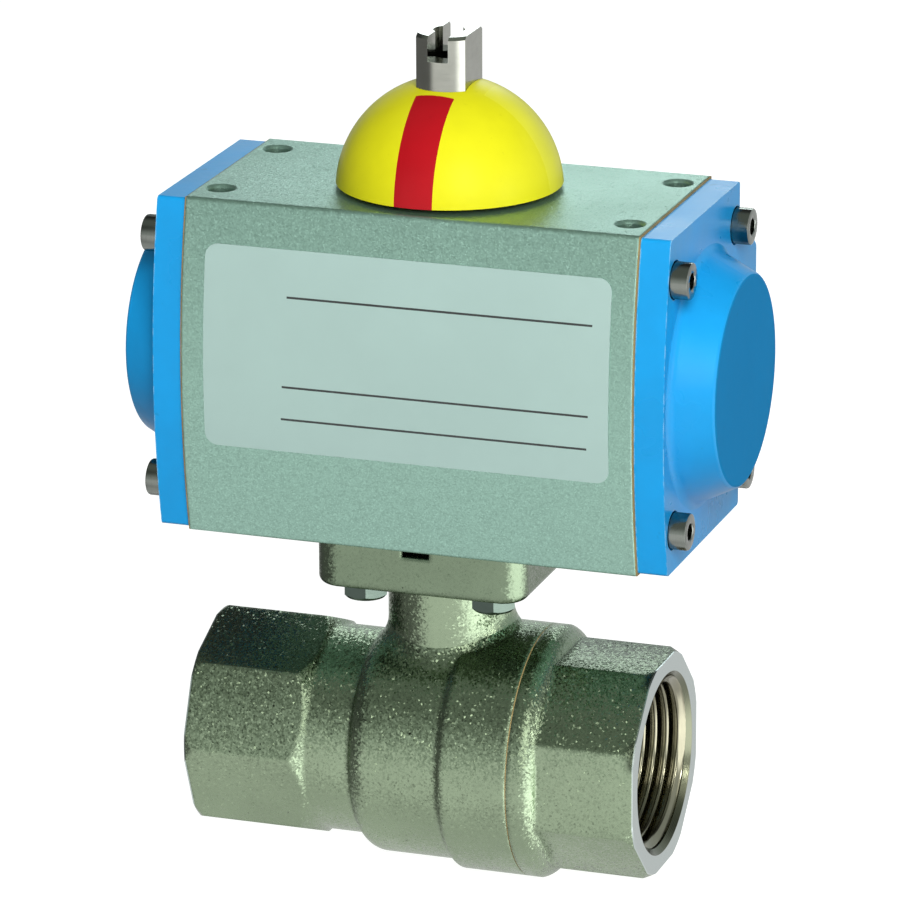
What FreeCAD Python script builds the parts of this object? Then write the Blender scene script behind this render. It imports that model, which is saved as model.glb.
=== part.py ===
"""Double-acting rack-and-pinion rotary actuator bolted on a two-piece brass ball valve.

Frame: millimetres, +Z up along the pinion axis, +X along the pipe and the piston bore, -Y to the
front.  The origin is the centre of the actuator's flat top face.  The model stands in the closed
position: the ball's bore lies across the pipe and both pistons are drawn in to the pinion.
"""

import FreeCAD, Part
import math
import os
import re
import Sketcher
from FreeCAD import Placement, Rotation, Vector

# Driving dimensions in millimetres.  Every size that can be chosen by itself is written here once.
SIZES = {
    # housing: an extruded aluminium section, cut to length
    "housing_length": 88.0,
    "housing_height": 65.0,
    "top_half_width": 22.5,
    "bottom_half_width": 23.4,
    "front_swell_radius": 152.0,
    "rear_pad_reach": 34.0,
    "rear_pad_half_height": 17.0,
    "rear_pad_slope": 10.5,
    "housing_edge_round": 0.8,
    "bore_diameter": 43.0,
    # accessory pattern on the top face and solenoid pattern on the rear pad
    "accessory_hole_spacing_long": 80.0,
    "accessory_hole_spacing_wide": 30.0,
    "accessory_hole_depth": 8.0,
    "accessory_sink_width": 0.5,
    "mounting_thread_diameter": 5.0,
    "thread_spare": 1.0,
    "cut_overshoot": 1.0,
    "solenoid_hole_spacing_long": 32.0,
    "solenoid_hole_spacing_tall": 24.0,
    "solenoid_hole_depth": 6.5,
    "air_port_diameter": 9.73,
    "air_port_spacing": 24.0,
    "air_port_depth": 8.0,
    "air_duct_radius": 1.8,
    "air_duct_inset": 9.5,
    "air_duct_drop": 13.5,
    # label film on the swollen front
    "label_thickness": 0.15,
    "label_half_length": 39.6,
    "label_top_drop": 8.0,
    "label_foot_drop": 46.6,
    "label_corner_round": 2.5,
    # end caps, gaskets and their screws
    "cap_thickness": 5.7,
    "cap_inset": 0.5,
    "gasket_thickness": 0.3,
    "gasket_inset": 0.15,
    "cap_dome_height": 8.0,
    "cap_dome_face_radius": 20.0,
    "cap_dome_foot_radius": 24.0,
    "cap_dome_foot_round": 1.5,
    "cap_dome_foot_flare": 0.9,
    "cap_dome_foot_turn": 2.4,
    "cap_dome_rim_round": 0.8,
    "cap_dome_rim_turn": 1.12,
    "cap_wall": 3.0,
    "cap_spigot_length": 1.6,
    "cap_spigot_wall": 2.2,
    "cap_screw_spacing_wide": 39.0,
    "cap_screw_edge_tall": 8.5,
    "cap_screw_diameter": 4.0,
    "cap_screw_length": 16.0,
    "cap_screw_head_diameter": 7.0,
    "cap_screw_head_height": 4.0,
    "cap_screw_sink": 0.7,
    "cap_screw_edge": 0.3,
    "screw_clearance": 0.25,
    "cap_screw_key": 3.0,
    "cap_screw_key_depth": 2.0,
    # rack and pinion
    "gear_module": 1.0,
    "gear_teeth": 16.0,
    "pressure_angle": 20.0,
    "rack_addendum": 0.9,
    "tooth_backlash": 0.1,
    "gear_length": 20.0,
    "gear_dedendum": 1.25,
    "gear_root_sink": 0.25,
    "rack_half_height": 8.0,
    "rack_gap_count": 7.0,
    "rack_end_gap": 1.0,
    "rack_relief_pitches": 0.75,
    # pistons
    "piston_head_thickness": 10.0,
    "piston_inner_face": 19.0,
    "piston_clearance": 0.1,
    "piston_rim": 1.2,
    "piston_seal_groove_width": 3.2,
    "piston_seal_groove_depth": 2.7,
    "guide_band_width": 3.0,
    "guide_band_depth": 1.0,
    "rack_back_clearance": 1.2,
    "rack_pad_length": 10.0,
    "rack_pad_half_height": 5.0,
    "rack_pad_start": 4.0,
    "rack_pad_sink": 2.0,
    "running_clearance": 0.05,
    # pinion shaft
    "pinion_top_height": 30.0,
    "pinion_top_diameter": 13.8,
    "pinion_flats": 9.6,
    "pinion_flats_foot": 9.0,
    "pinion_slot_width": 4.0,
    "pinion_slot_depth": 4.8,
    "pinion_chamfer": 0.6,
    "pinion_thread_diameter": 6.0,
    "pinion_thread_depth": 12.0,
    "upper_journal_radius": 7.0,
    "lower_journal_radius": 10.0,
    "pinion_foot_gap": 0.4,
    "bush_wall": 2.0,
    "shaft_seal_room": 2.8,
    "bush_sink": 0.8,
    "shaft_seal_groove_depth": 1.6,
    "shaft_seal_groove_width": 2.2,
    "upper_seal_gap": 2.4,
    "lower_seal_gap": 1.9,
    "spigot_recess_radius": 12.6,
    "spigot_recess_depth": 2.0,
    "square_drive": 9.0,
    "square_drive_depth": 9.7,
    "square_clearance": 0.05,
    "thrust_washer_radius": 11.0,
    "thrust_washer_thickness": 1.2,
    "circlip_thickness": 1.0,
    "circlip_width": 2.0,
    "circlip_groove_depth": 0.5,
    "circlip_mouth": 4.0,
    # indicator dome on the pinion
    "dome_radius": 21.3,
    "dome_top_drop": 9.1,
    "dome_gap": 1.05,
    "dome_wall": 2.0,
    "dome_hub_wall": 3.0,
    "dome_hub_gap": 0.3,
    "stripe_width": 7.45,
    "stripe_depth": 0.6,
    "stripe_top_end": 8.1,
    # valve: flange, neck and stem
    "flange_width": 41.4,
    "flange_thickness": 9.5,
    "flange_corner_round": 5.0,
    "flange_edge_round": 1.5,
    "flange_bolt_circle": 36.0,
    "flange_hole_diameter": 5.5,
    "flange_spigot_height": 1.6,
    "weep_notch_width": 5.5,
    "weep_notch_depth": 2.0,
    "flange_bolt_length": 16.0,
    "flange_bolt_head": 3.5,
    "flange_bolt_key": 8.0,
    "flange_bolt_turn": -11.0,
    "neck_radius": 12.0,
    "neck_foot_round": 6.0,
    "stem_radius": 6.0,
    "stem_clearance": 0.1,
    "stem_square_height": 9.0,
    "stem_collar_radius": 8.0,
    "stem_collar_height": 2.5,
    "stem_collar_drop": 22.0,
    "stem_collar_clearance": 0.2,
    "thrust_ring_thickness": 1.0,
    "stem_seal_drop_one": 8.0,
    "stem_seal_drop_two": 13.0,
    "stem_seal_groove_depth": 1.4,
    "stem_seal_groove_width": 2.0,
    "stem_tang_width": 5.8,
    "stem_tang_length": 12.0,
    "stem_tang_gap": 0.2,
    "ball_slot_width": 6.0,
    "ball_slot_depth": 4.5,
    # valve: body, end connector and trim
    "pipe_axis_drop": 45.0,
    "body_left_end": 47.0,
    "octagon_left_foot": 23.0,
    "octagon_flats": 41.0,
    "waist_radius": 19.9,
    "band_one_radius": 22.8,
    "band_one_start": 9.9,
    "band_one_rise": 4.6,
    "band_one_end": 4.0,
    "band_two_radius": 24.3,
    "band_two_start": 6.0,
    "joint_line": 18.7,
    "connector_seal_thickness": 0.25,
    "connector_end": 42.8,
    "connector_collar_width": 2.2,
    "connector_collar_slope": 2.4,
    "thread_radius": 16.62,
    "thread_depth": 19.0,
    "thread_mouth_chamfer": 1.0,
    "spigot_radius": 21.4,
    "spigot_start": 9.5,
    "thread_fit": 0.05,
    "ball_radius": 19.0,
    "ball_bore_radius": 12.5,
    "ball_clearance": 0.4,
    "seat_outer_radius": 17.0,
    "seat_outer_face": 16.5,
    "seat_inner_face": 12.2,
    "seat_clearance": 0.1,
    "octagon_end_chamfer": 1.6,
    "octagon_face_radius": 21.2,
    "octagon_root_sink": 0.2,
}

document = FreeCAD.newDocument("ActuatorWithBallValve")
sheet = document.addObject("Spreadsheet::Sheet", "Sizes")
for row, (alias, size) in enumerate(SIZES.items(), start=1):
    sheet.set(f"A{row}", alias)
    sheet.set(f"B{row}", str(size))
    sheet.setAlias(f"B{row}", alias)
document.recompute()

AXIS = {"X": Vector(1, 0, 0), "Y": Vector(0, 1, 0), "Z": Vector(0, 0, 1)}
SECTION = "YZ_Plane"
LENGTHWISE = "XZ_Plane"
PLAN = "XY_Plane"
HEXAGON_SIDES = 6
ROUND_SIDES = 8
HALF_OCTAGON_ANGLE = 22.5
LENGTH_TOLERANCE = 0.01

# Heights and reaches that follow from the driving dimensions, as formulas over the sheet.
BORE_RADIUS = "bore_diameter / 2"
AXIS_DROP = "housing_height / 2"
HALF_LENGTH = "housing_length / 2"
CAP_INNER_FACE = f"({HALF_LENGTH} + gasket_thickness)"
CAP_OUTER_FACE = f"({CAP_INNER_FACE} + cap_thickness)"
PITCH_RADIUS = "gear_module * gear_teeth / 2"
PIPE_AXIS = "(housing_height + pipe_axis_drop)"
FLANGE_FOOT = "(housing_height + flange_thickness)"
OCTAGON_CIRCLE = f"octagon_flats / 2 / cos({HALF_OCTAGON_ANGLE})"


def formula(text):
    """A formula for the sheet's users: each size in it gets the sheet's name."""
    return re.sub(r"[a-z_]+", lambda hit: f"Sizes.{hit[0]}" if hit[0] in SIZES else hit[0], str(text))


def amount(text):
    """The present value of a formula."""
    return float(sheet.evalExpression(formula(text)))


def bind(item, **formulas):
    """Tie properties of an object to formulas over the sheet."""
    for name, text in formulas.items():
        item.setExpression(name, formula(text))
    return item


def place(item, x="0", y="0", z="0", turn=None):
    """Put an object at a bound place, turned by an optional (axis, degrees)."""
    if turn:
        item.Placement = Placement(Vector(), Rotation(AXIS[turn[0]], turn[1]))
    for letter, text in (("x", x), ("y", y), ("z", z)):
        item.setExpression(f"Placement.Base.{letter}", formula(text))
    return item


def cylinder(name, radius, length, along="Z", **at):
    """A cylinder whose foot is at the given place and which grows along +X, +Y or +Z."""
    item = bind(document.addObject("Part::Cylinder", name), Radius=radius, Height=length)
    turns = {"X": ("Y", 90), "Y": ("X", -90), "Z": None}
    return place(item, turn=turns[along], **at)


def block(name, size, low):
    """A box from its low corner; size and low are three formulas each."""
    item = bind(document.addObject("Part::Box", name), Length=size[0], Width=size[1], Height=size[2])
    return place(item, *low)


def tube(name, outer, inner, length, along="Z", **at):
    """A plain ring: an outer cylinder less an inner one of the same length."""
    rim = cylinder(f"{name}_rim", outer, length, along, **at)
    hole = cylinder(f"{name}_hole", inner, length, along, **at)
    return cut(name, rim, [hole])


def gather(name, pieces):
    """One object from several, which stay separate solids where they don't meet."""
    item = document.addObject("Part::MultiFuse", name)
    item.Shapes = pieces
    return item


def cut(name, base, tools):
    """The base less all the tools."""
    item = document.addObject("Part::Cut", name)
    item.Base = base
    item.Tool = tools[0] if len(tools) == 1 else gather(f"{name}_tools", tools)
    return item


def common(name, first, second):
    """What two objects share."""
    item = document.addObject("Part::MultiCommon", name)
    item.Shapes = [first, second]
    return item


def mirrored(name, source, normal="X"):
    """The source mirrored in the plane through the origin with this normal."""
    item = document.addObject("Part::Mirroring", name)
    item.Source = source
    item.Normal = AXIS[normal]
    return item


def origin_feature(body, role):
    """A body's own origin plane or axis."""
    return next(part for part in body.Origin.OriginFeatures if part.Role == role)


def arc_between(start, end, radius):
    """The short arc from start to end; a positive radius turns left and a negative one right."""
    chord = end - start
    middle = (start + end) * 0.5
    left = Vector(-chord.y, chord.x, 0).normalize()
    rise = math.sqrt(max(radius**2 - (chord.Length / 2) ** 2, 0.0))
    centre = middle + left * math.copysign(rise, radius)
    first, last = (start, end) if radius > 0 else (end, start)
    angles = [math.atan2(point.y - centre.y, point.x - centre.x) for point in (first, last)]
    return Part.ArcOfCircle(Part.Circle(centre, Vector(0, 0, 1), abs(radius)), *angles)


def outline(body, plane, corners, lift="0"):
    """A closed sketch through corners (x, y), each a pair of formulas.

    A third value makes the edge that arrives at the corner an arc of that radius, which turns
    left where it is positive and right where it is negative.
    """
    sketch = body.newObject("Sketcher::SketchObject", f"{body.Name}_sketch")
    sketch.AttachmentSupport = [(origin_feature(body, plane), "")]
    sketch.MapMode = "FlatFace"
    sketch.setExpression("AttachmentOffset.Base.z", formula(lift))
    points = [Vector(amount(corner[0]), amount(corner[1]), 0) for corner in corners]
    ends = []
    for index, corner in enumerate(corners):
        start, end = points[index - 1], points[index]
        if len(corner) == 2:
            edge = sketch.addGeometry(Part.LineSegment(start, end))
            ends.append((edge, 1, 2))
            continue
        radius = amount(corner[2])
        edge = sketch.addGeometry(arc_between(start, end, radius))
        ends.append((edge, 1, 2) if radius > 0 else (edge, 2, 1))
        key = sketch.addConstraint(Sketcher.Constraint("Radius", edge, abs(radius)))
        sketch.setExpression(f"Constraints[{key}]", formula(f"abs({corner[2]})"))
    for index, corner in enumerate(corners):
        edge, _, last = ends[index]
        following, first, _ = ends[(index + 1) % len(ends)]
        sketch.addConstraint(Sketcher.Constraint("Coincident", edge, last, following, first))
        for kind, text, value in zip(("DistanceX", "DistanceY"), corner, points[index]):
            key = sketch.addConstraint(Sketcher.Constraint(kind, -1, 1, edge, last, value))
            sketch.setExpression(f"Constraints[{key}]", formula(text))
    return sketch


def new_body(name, x="0", y="0", z="0", turn=None):
    """An empty body at a bound place."""
    return place(document.addObject("PartDesign::Body", name), x, y, z, turn)


def feature(body, kind, sketch, **formulas):
    """Add a sketched feature to a body and make it the body's tip."""
    item = body.newObject(f"PartDesign::{kind}", f"{body.Name}_{kind.lower()}")
    item.Profile = sketch
    bind(item, **formulas)
    body.Tip = item
    return item


def turn_about(body, kind, corners, axis, plane=LENGTHWISE):
    """Add or remove the full turn of an outline about one of the body's axes."""
    item = feature(body, kind, outline(body, plane, corners))
    item.ReferenceAxis = (origin_feature(body, f"{axis}_Axis"), [""])
    item.Angle = 360
    return item


def turned(name, corners, axis, **at):
    """A turned piece: one outline of length against radius, turned about X or Z."""
    body = new_body(name, **at)
    turn_about(body, "Revolution", corners, axis)
    return body


def seal_ring(name, inner, outer, axis, **at):
    """A ring seal about X or Z: its section is an octagon, which touches both of its walls."""
    width = f"(({outer}) - ({inner}))"
    middle = f"((({outer}) + ({inner})) / 2)"
    half_side = f"({width} / 2 * tan(180 / {ROUND_SIDES}))"
    section = []
    for reach, rise in (
        (half_side, f"{width} / 2"), (f"{width} / 2", half_side),
        (f"{width} / 2", f"-{half_side}"), (half_side, f"-{width} / 2"),
        (f"-{half_side}", f"-{width} / 2"), (f"-{width} / 2", f"-{half_side}"),
        (f"-{width} / 2", half_side), (f"-{half_side}", f"{width} / 2"),
    ):
        section.append((reach, f"{middle} + {rise}") if axis == "X" else (f"{middle} + {rise}", reach))
    return turned(name, section, axis, **at)


def pad(body, plane, corners, length, both_ways=False, lift="0"):
    """Extrude an outline from a plane of the body."""
    item = feature(body, "Pad", outline(body, plane, corners, lift), Length=length)
    item.Midplane = both_ways
    return item


def pocket(body, plane, corners, length, lift="0"):
    """Cut an outline out of the body, half the length to each side of the plane."""
    item = feature(body, "Pocket", outline(body, plane, corners, lift), Length=length)
    item.Midplane = True
    return item


def round_edges(name, base, radius, wanted):
    """Round those edges of an object that the test picks."""
    document.recompute()
    item = document.addObject("Part::Fillet", name)
    item.Base = base
    size = amount(radius)
    chosen = [number for number, edge in enumerate(base.Shape.Edges, start=1) if wanted(edge)]
    item.Edges = [(number, size, size) for number in chosen]
    return item


def four_corners(half_x, half_y):
    """The four corners of a rectangle about the origin, as pairs of formulas."""
    signs = ((1, 1), (-1, 1), (-1, -1), (1, -1))
    return [(f"{across} * ({half_x})", f"{along} * ({half_y})") for across, along in signs]


def housing_section(inset="0"):
    """The extrusion's outline: flat top, swollen front and a flat pad at the rear."""
    front_turn = f"(front_swell_radius - {inset})"
    pad_top = f"-({AXIS_DROP} - rear_pad_half_height) - {inset}"
    pad_foot = f"-({AXIS_DROP} + rear_pad_half_height) + {inset}"
    return [
        (f"-top_half_width + {inset}", f"-({inset})"),
        (f"-bottom_half_width + {inset}", f"-housing_height + {inset}", front_turn),
        (f"bottom_half_width - {inset}", f"-housing_height + {inset}"),
        (f"bottom_half_width - {inset}", f"{pad_foot} - rear_pad_slope"),
        (f"rear_pad_reach - {inset}", pad_foot),
        (f"rear_pad_reach - {inset}", pad_top),
        (f"top_half_width - {inset}", f"{pad_top} + rear_pad_slope"),
        (f"top_half_width - {inset}", f"-({inset})"),
    ]


def label():
    """The blank label film: a thin skin over the swollen front with rounded corners."""
    length = "2 * label_half_length"
    skin, bar = new_body("label_skin"), new_body("label_bar")
    pad(skin, SECTION, housing_section("-label_thickness"), length, both_ways=True)
    pad(bar, SECTION, housing_section(), length, both_ways=True)
    blank = new_body("label_blank")
    side, corner = "label_half_length", "label_corner_round"
    top, foot = "-label_top_drop", "-label_foot_drop"
    corners = [
        (f"{side} - {corner}", foot),
        (side, f"{foot} + {corner}", corner),
        (side, f"{top} - {corner}"),
        (f"{side} - {corner}", top, corner),
        (f"-{side} + {corner}", top),
        (f"-{side}", f"{top} - {corner}", corner),
        (f"-{side}", f"{foot} + {corner}"),
        (f"-{side} + {corner}", foot, corner),
    ]
    pad(blank, LENGTHWISE, corners, "housing_height")
    return common("label", cut("label_shell", skin, [bar]), blank)


def cap_screw_places():
    """Where the cap screws stand in the housing section, as (y, z) formulas."""
    corners = four_corners("cap_screw_spacing_wide / 2", f"{AXIS_DROP} - cap_screw_edge_tall")
    return [(across, f"{tall} - {AXIS_DROP}") for across, tall in corners]


CAP_SCREW_GRIP = "(cap_thickness + gasket_thickness - cap_screw_sink)"
SOCKET_THREAD_DEPTH = f"(cap_screw_length - {CAP_SCREW_GRIP} + thread_spare)"
FLANGE_THREAD_DEPTH = "(flange_bolt_length - flange_thickness + thread_spare)"
MOUNTING_THREAD = "mounting_thread_diameter / 2"
AIR_PORT_FLOOR = "(rear_pad_reach - air_port_depth)"
DUCT_Y = "(rear_pad_reach - air_duct_inset)"
DUCT_Z = f"-({AXIS_DROP} + air_duct_drop)"
FLANGE_BOLT_REACH = "flange_bolt_circle / 2 * cos(45)"


def accessory_holes():
    """The four threaded holes of the flat top, each with a small countersink."""
    tools = []
    places = four_corners("accessory_hole_spacing_long / 2", "accessory_hole_spacing_wide / 2")
    for number, (x, y) in enumerate(places):
        at = {"x": x, "y": y, "z": "-accessory_hole_depth"}
        tools.append(cylinder(f"top_hole_{number}", MOUNTING_THREAD, "accessory_hole_depth", **at))
        mouth = document.addObject("Part::Cone", f"top_sink_{number}")
        mouth_radius = f"{MOUNTING_THREAD} + accessory_sink_width"
        bind(mouth, Radius1=MOUNTING_THREAD, Radius2=mouth_radius, Height="accessory_sink_width")
        tools.append(place(mouth, x=x, y=y, z="-accessory_sink_width"))
    return tools


def solenoid_holes():
    """The four threaded holes of the rear pad, which hold a control valve."""
    tools = []
    places = four_corners("solenoid_hole_spacing_long / 2", "solenoid_hole_spacing_tall / 2")
    for number, (x, tall) in enumerate(places):
        at = {"x": x, "y": "rear_pad_reach - solenoid_hole_depth", "z": f"{tall} - {AXIS_DROP}"}
        tools.append(cylinder(f"rear_hole_{number}", MOUNTING_THREAD, "solenoid_hole_depth", "Y", **at))
    return tools


def cap_screw_holes():
    """Threaded holes for the cap screws in both end faces."""
    tools = []
    radius = "cap_screw_diameter / 2"
    for side, foot in (("left", f"-{HALF_LENGTH}"), ("right", f"{HALF_LENGTH} - {SOCKET_THREAD_DEPTH}")):
        for number, (y, z) in enumerate(cap_screw_places()):
            name = f"{side}_screw_hole_{number}"
            tools.append(cylinder(name, radius, SOCKET_THREAD_DEPTH, "X", x=foot, y=y, z=z))
    return tools


def flange_threads():
    """Threaded holes in the foot of the housing for the valve flange's bolts."""
    tools = []
    for number, (x, y) in enumerate(four_corners(FLANGE_BOLT_REACH, FLANGE_BOLT_REACH)):
        at = {"x": x, "y": y, "z": "-housing_height"}
        tools.append(cylinder(f"foot_hole_{number}", MOUNTING_THREAD, FLANGE_THREAD_DEPTH, **at))
    return tools


def air_ways():
    """Two air ports in the rear pad: one feeds the middle chamber, the other both end chambers."""
    duct = "air_duct_radius"
    inlet = {"y": f"{BORE_RADIUS} - air_duct_radius", "z": f"-{AXIS_DROP}"}
    inlet_length = f"{AIR_PORT_FLOOR} - {BORE_RADIUS} + air_duct_radius"
    behind = {"x": "air_port_spacing / 2", "y": DUCT_Y}
    tools = [
        cylinder("middle_inlet", duct, inlet_length, "Y", x="-air_port_spacing / 2", **inlet),
        cylinder("ends_inlet", duct, "air_duct_inset", "Y", z=f"-{AXIS_DROP}", **behind),
        cylinder("ends_drop", duct, "air_duct_drop", z=DUCT_Z, **behind),
        cylinder("ends_duct", duct, "housing_length", "X", x=f"-{HALF_LENGTH}", y=DUCT_Y, z=DUCT_Z),
    ]
    for name, side in (("middle_port", "-1"), ("ends_port", "1")):
        at = {"x": f"{side} * air_port_spacing / 2", "y": AIR_PORT_FLOOR, "z": f"-{AXIS_DROP}"}
        tools.append(cylinder(name, "air_port_diameter / 2", "air_port_depth", "Y", **at))
    return tools


UPPER_BUSH_RADIUS = "(upper_journal_radius + running_clearance + bush_wall)"
LOWER_BUSH_RADIUS = "(lower_journal_radius + running_clearance + bush_wall)"
BORE_WALL = "((housing_height - bore_diameter) / 2)"
BUSH_LENGTH = f"({BORE_WALL} - spigot_recess_depth - bush_sink - shaft_seal_room)"
UPPER_BUSH_FOOT = f"(bush_sink + {BUSH_LENGTH})"
LOWER_BUSH_TOP = f"(housing_height - spigot_recess_depth - bush_sink - {BUSH_LENGTH})"


def pinion_bores():
    """The stepped bores of the pinion's journals, bushes and the flange spigot."""
    upper = "upper_journal_radius + stem_clearance"
    lower = "lower_journal_radius + stem_clearance"
    lower_depth = f"housing_height - {LOWER_BUSH_TOP}"
    foot = {"z": "-housing_height"}
    return [
        cylinder("upper_bore", upper, AXIS_DROP, z=f"-{AXIS_DROP}"),
        cylinder("upper_pocket", UPPER_BUSH_RADIUS, UPPER_BUSH_FOOT, z=f"-{UPPER_BUSH_FOOT}"),
        cylinder("lower_bore", lower, AXIS_DROP, **foot),
        cylinder("lower_pocket", LOWER_BUSH_RADIUS, lower_depth, **foot),
        cylinder("spigot_recess", "spigot_recess_radius", "spigot_recess_depth", **foot),
    ]


def housing_body():
    """The extruded housing with its rounded long edges and all its bores."""
    bar = new_body("housing_bar")
    pad(bar, SECTION, housing_section(), "housing_length", both_ways=True)
    shell = round_edges("housing_shell", bar, "housing_edge_round", runs_along_x)
    start = {"x": f"-{HALF_LENGTH}", "z": f"-{AXIS_DROP}"}
    main_bore = cylinder("main_bore", BORE_RADIUS, "housing_length", "X", **start)
    tools = [main_bore] + accessory_holes() + solenoid_holes() + cap_screw_holes()
    return cut("housing_body", shell, tools + flange_threads() + air_ways() + pinion_bores())


def runs_along_x(edge):
    """Whether an edge is a straight one along the housing."""
    ends = [vertex.Point for vertex in edge.Vertexes]
    return len(ends) == 2 and abs(ends[1].x - ends[0].x) > edge.Length * 0.999


def end_cap_right():
    """The cast cap: a plate of the housing's outline and a hollow conical dome over the bore."""
    plate = new_body("cap_plate")
    pad(plate, SECTION, housing_section("cap_inset"), "cap_thickness", lift=CAP_INNER_FACE)
    rounded = round_edges("cap_plate_rounded", plate, "housing_edge_round", runs_along_x)
    face = f"({CAP_OUTER_FACE} + cap_dome_height)"
    slope = "((cap_dome_foot_radius - cap_dome_face_radius) / cap_dome_height)"
    foot_round = "cap_dome_foot_round"
    foot_radius = "cap_dome_foot_radius + cap_dome_foot_flare"
    spigot = f"({BORE_RADIUS} - piston_clearance)"
    dome = turned(
        "cap_dome",
        [
            (f"{CAP_INNER_FACE} - cap_spigot_length", "0"),
            (f"{face}", "0"),
            (f"{face}", "cap_dome_face_radius - cap_dome_rim_round"),
            (f"{face} - cap_dome_rim_round", f"cap_dome_face_radius + cap_dome_rim_round * {slope}",
             "cap_dome_rim_turn"),
            (f"{CAP_OUTER_FACE} + {foot_round}", f"cap_dome_foot_radius - {foot_round} * {slope}"),
            (CAP_OUTER_FACE, foot_radius, "-cap_dome_foot_turn"),
            (f"{CAP_OUTER_FACE} - cap_thickness / 2", foot_radius),
            (f"{CAP_OUTER_FACE} - cap_thickness / 2", spigot),
            (f"{CAP_INNER_FACE} - cap_spigot_length", spigot),
        ],
        "X",
        z=f"-{AXIS_DROP}",
    )
    inner = f"({spigot} - cap_spigot_wall)"
    hollow = turned(
        "cap_hollow",
        [
            (f"{CAP_INNER_FACE} - cap_spigot_length - cut_overshoot", "0"),
            (f"{face} - cap_wall", "0"),
            (f"{face} - cap_wall", f"{inner} - cap_wall"),
            (f"{CAP_OUTER_FACE}", inner),
            (f"{CAP_INNER_FACE} - cap_spigot_length - cut_overshoot", inner),
        ],
        "X",
        z=f"-{AXIS_DROP}",
    )
    return cut("end_cap_right", gather("cap_solid", [rounded, dome]), [hollow] + cap_openings())


def cap_openings():
    """Screw holes with sunk seats, and the way from the air duct into the dome."""
    tools = []
    through = "cap_screw_diameter / 2 + screw_clearance"
    seat = "cap_screw_head_diameter / 2 + screw_clearance"
    hole_start, seat_start = CAP_INNER_FACE, f"{CAP_OUTER_FACE} - cap_screw_sink"
    for number, (y, z) in enumerate(cap_screw_places()):
        at = {"y": y, "z": z}
        tools.append(cylinder(f"cap_hole_{number}", through, "cap_thickness", "X", x=hole_start, **at))
        tools.append(cylinder(f"cap_seat_{number}", seat, "cap_screw_sink", "X", x=seat_start, **at))
    at = {"x": CAP_INNER_FACE, "y": DUCT_Y, "z": DUCT_Z}
    tools.append(cylinder("cap_duct", "air_duct_radius", "cap_thickness / 2", "X", **at))
    slot = block(
        "cap_duct_slot",
        ("cap_thickness / 2", f"{DUCT_Y} + air_duct_radius", "2 * air_duct_radius"),
        (CAP_INNER_FACE, "0", f"{DUCT_Z} - air_duct_radius"),
    )
    return tools + [slot]


def cap_gasket_right():
    """The thin gasket between the cap and the housing's end face."""
    sheet_body = new_body("gasket_sheet")
    pad(sheet_body, SECTION, housing_section("gasket_inset"), "gasket_thickness", lift=HALF_LENGTH)
    screw_radius = "cap_screw_diameter / 2 + screw_clearance"
    openings = [("bore", BORE_RADIUS, "0", f"-{AXIS_DROP}"), ("duct", "air_duct_radius", DUCT_Y, DUCT_Z)]
    for number, (y, z) in enumerate(cap_screw_places()):
        openings.append((f"hole_{number}", screw_radius, y, z))
    tools = [
        cylinder(f"gasket_{name}", radius, "gasket_thickness", "X", x=HALF_LENGTH, y=y, z=z)
        for name, radius, y, z in openings
    ]
    return cut("cap_gasket_right", sheet_body, tools)


def cap_screws_right():
    """Four socket head cap screws, as separate solids of one node."""
    screws = []
    seat = f"{CAP_OUTER_FACE} - cap_screw_sink"
    shank = "cap_screw_diameter / 2 - running_clearance"
    head = "cap_screw_head_diameter / 2"
    edge = "cap_screw_edge"
    for number, (y, z) in enumerate(cap_screw_places()):
        screw = turned(
            f"cap_screw_{number}",
            [
                ("-cap_screw_length", "0"),
                ("cap_screw_head_height", "0"),
                ("cap_screw_head_height", f"{head} - {edge}"),
                (f"cap_screw_head_height - {edge}", head),
                ("0", head),
                ("0", shank),
                (f"-cap_screw_length + {edge}", shank),
                ("-cap_screw_length", f"{shank} - {edge}"),
            ],
            "X",
            x=seat,
            y=y,
            z=z,
        )
        floor = f"{seat} + cap_screw_head_height - cap_screw_key_depth"
        name = f"cap_screw_key_{number}"
        key = hexagon(name, "cap_screw_key", "cap_screw_key_depth", ("Y", 90), x=floor, y=y, z=z)
        screws.append(cut(f"cap_screw_cut_{number}", screw, [key]))
    return gather("cap_screws_right", screws)


def hexagon(name, flats, length, turn, **at):
    """A hexagonal prism of the given width across flats, which stands on +Z before it is turned."""
    item = document.addObject("Part::Prism", name)
    item.Polygon = HEXAGON_SIDES
    bind(item, Circumradius=f"{flats} / 2 / cos(180 / {HEXAGON_SIDES})", Height=length)
    return place(item, turn=turn, **at)


def involute_point(base_radius, radius, start_angle, hand):
    """The point of an involute at a radius; hand is 1 or -1 for the two flanks."""
    roll = math.sqrt((radius / base_radius) ** 2 - 1)
    angle = start_angle + hand * (roll - math.atan(roll))
    return Vector(radius * math.cos(angle), radius * math.sin(angle), 0)


def polar(radius, angle):
    """A point of the plan at a radius and an angle in radians."""
    return Vector(radius * math.cos(angle), radius * math.sin(angle), 0)


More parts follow.
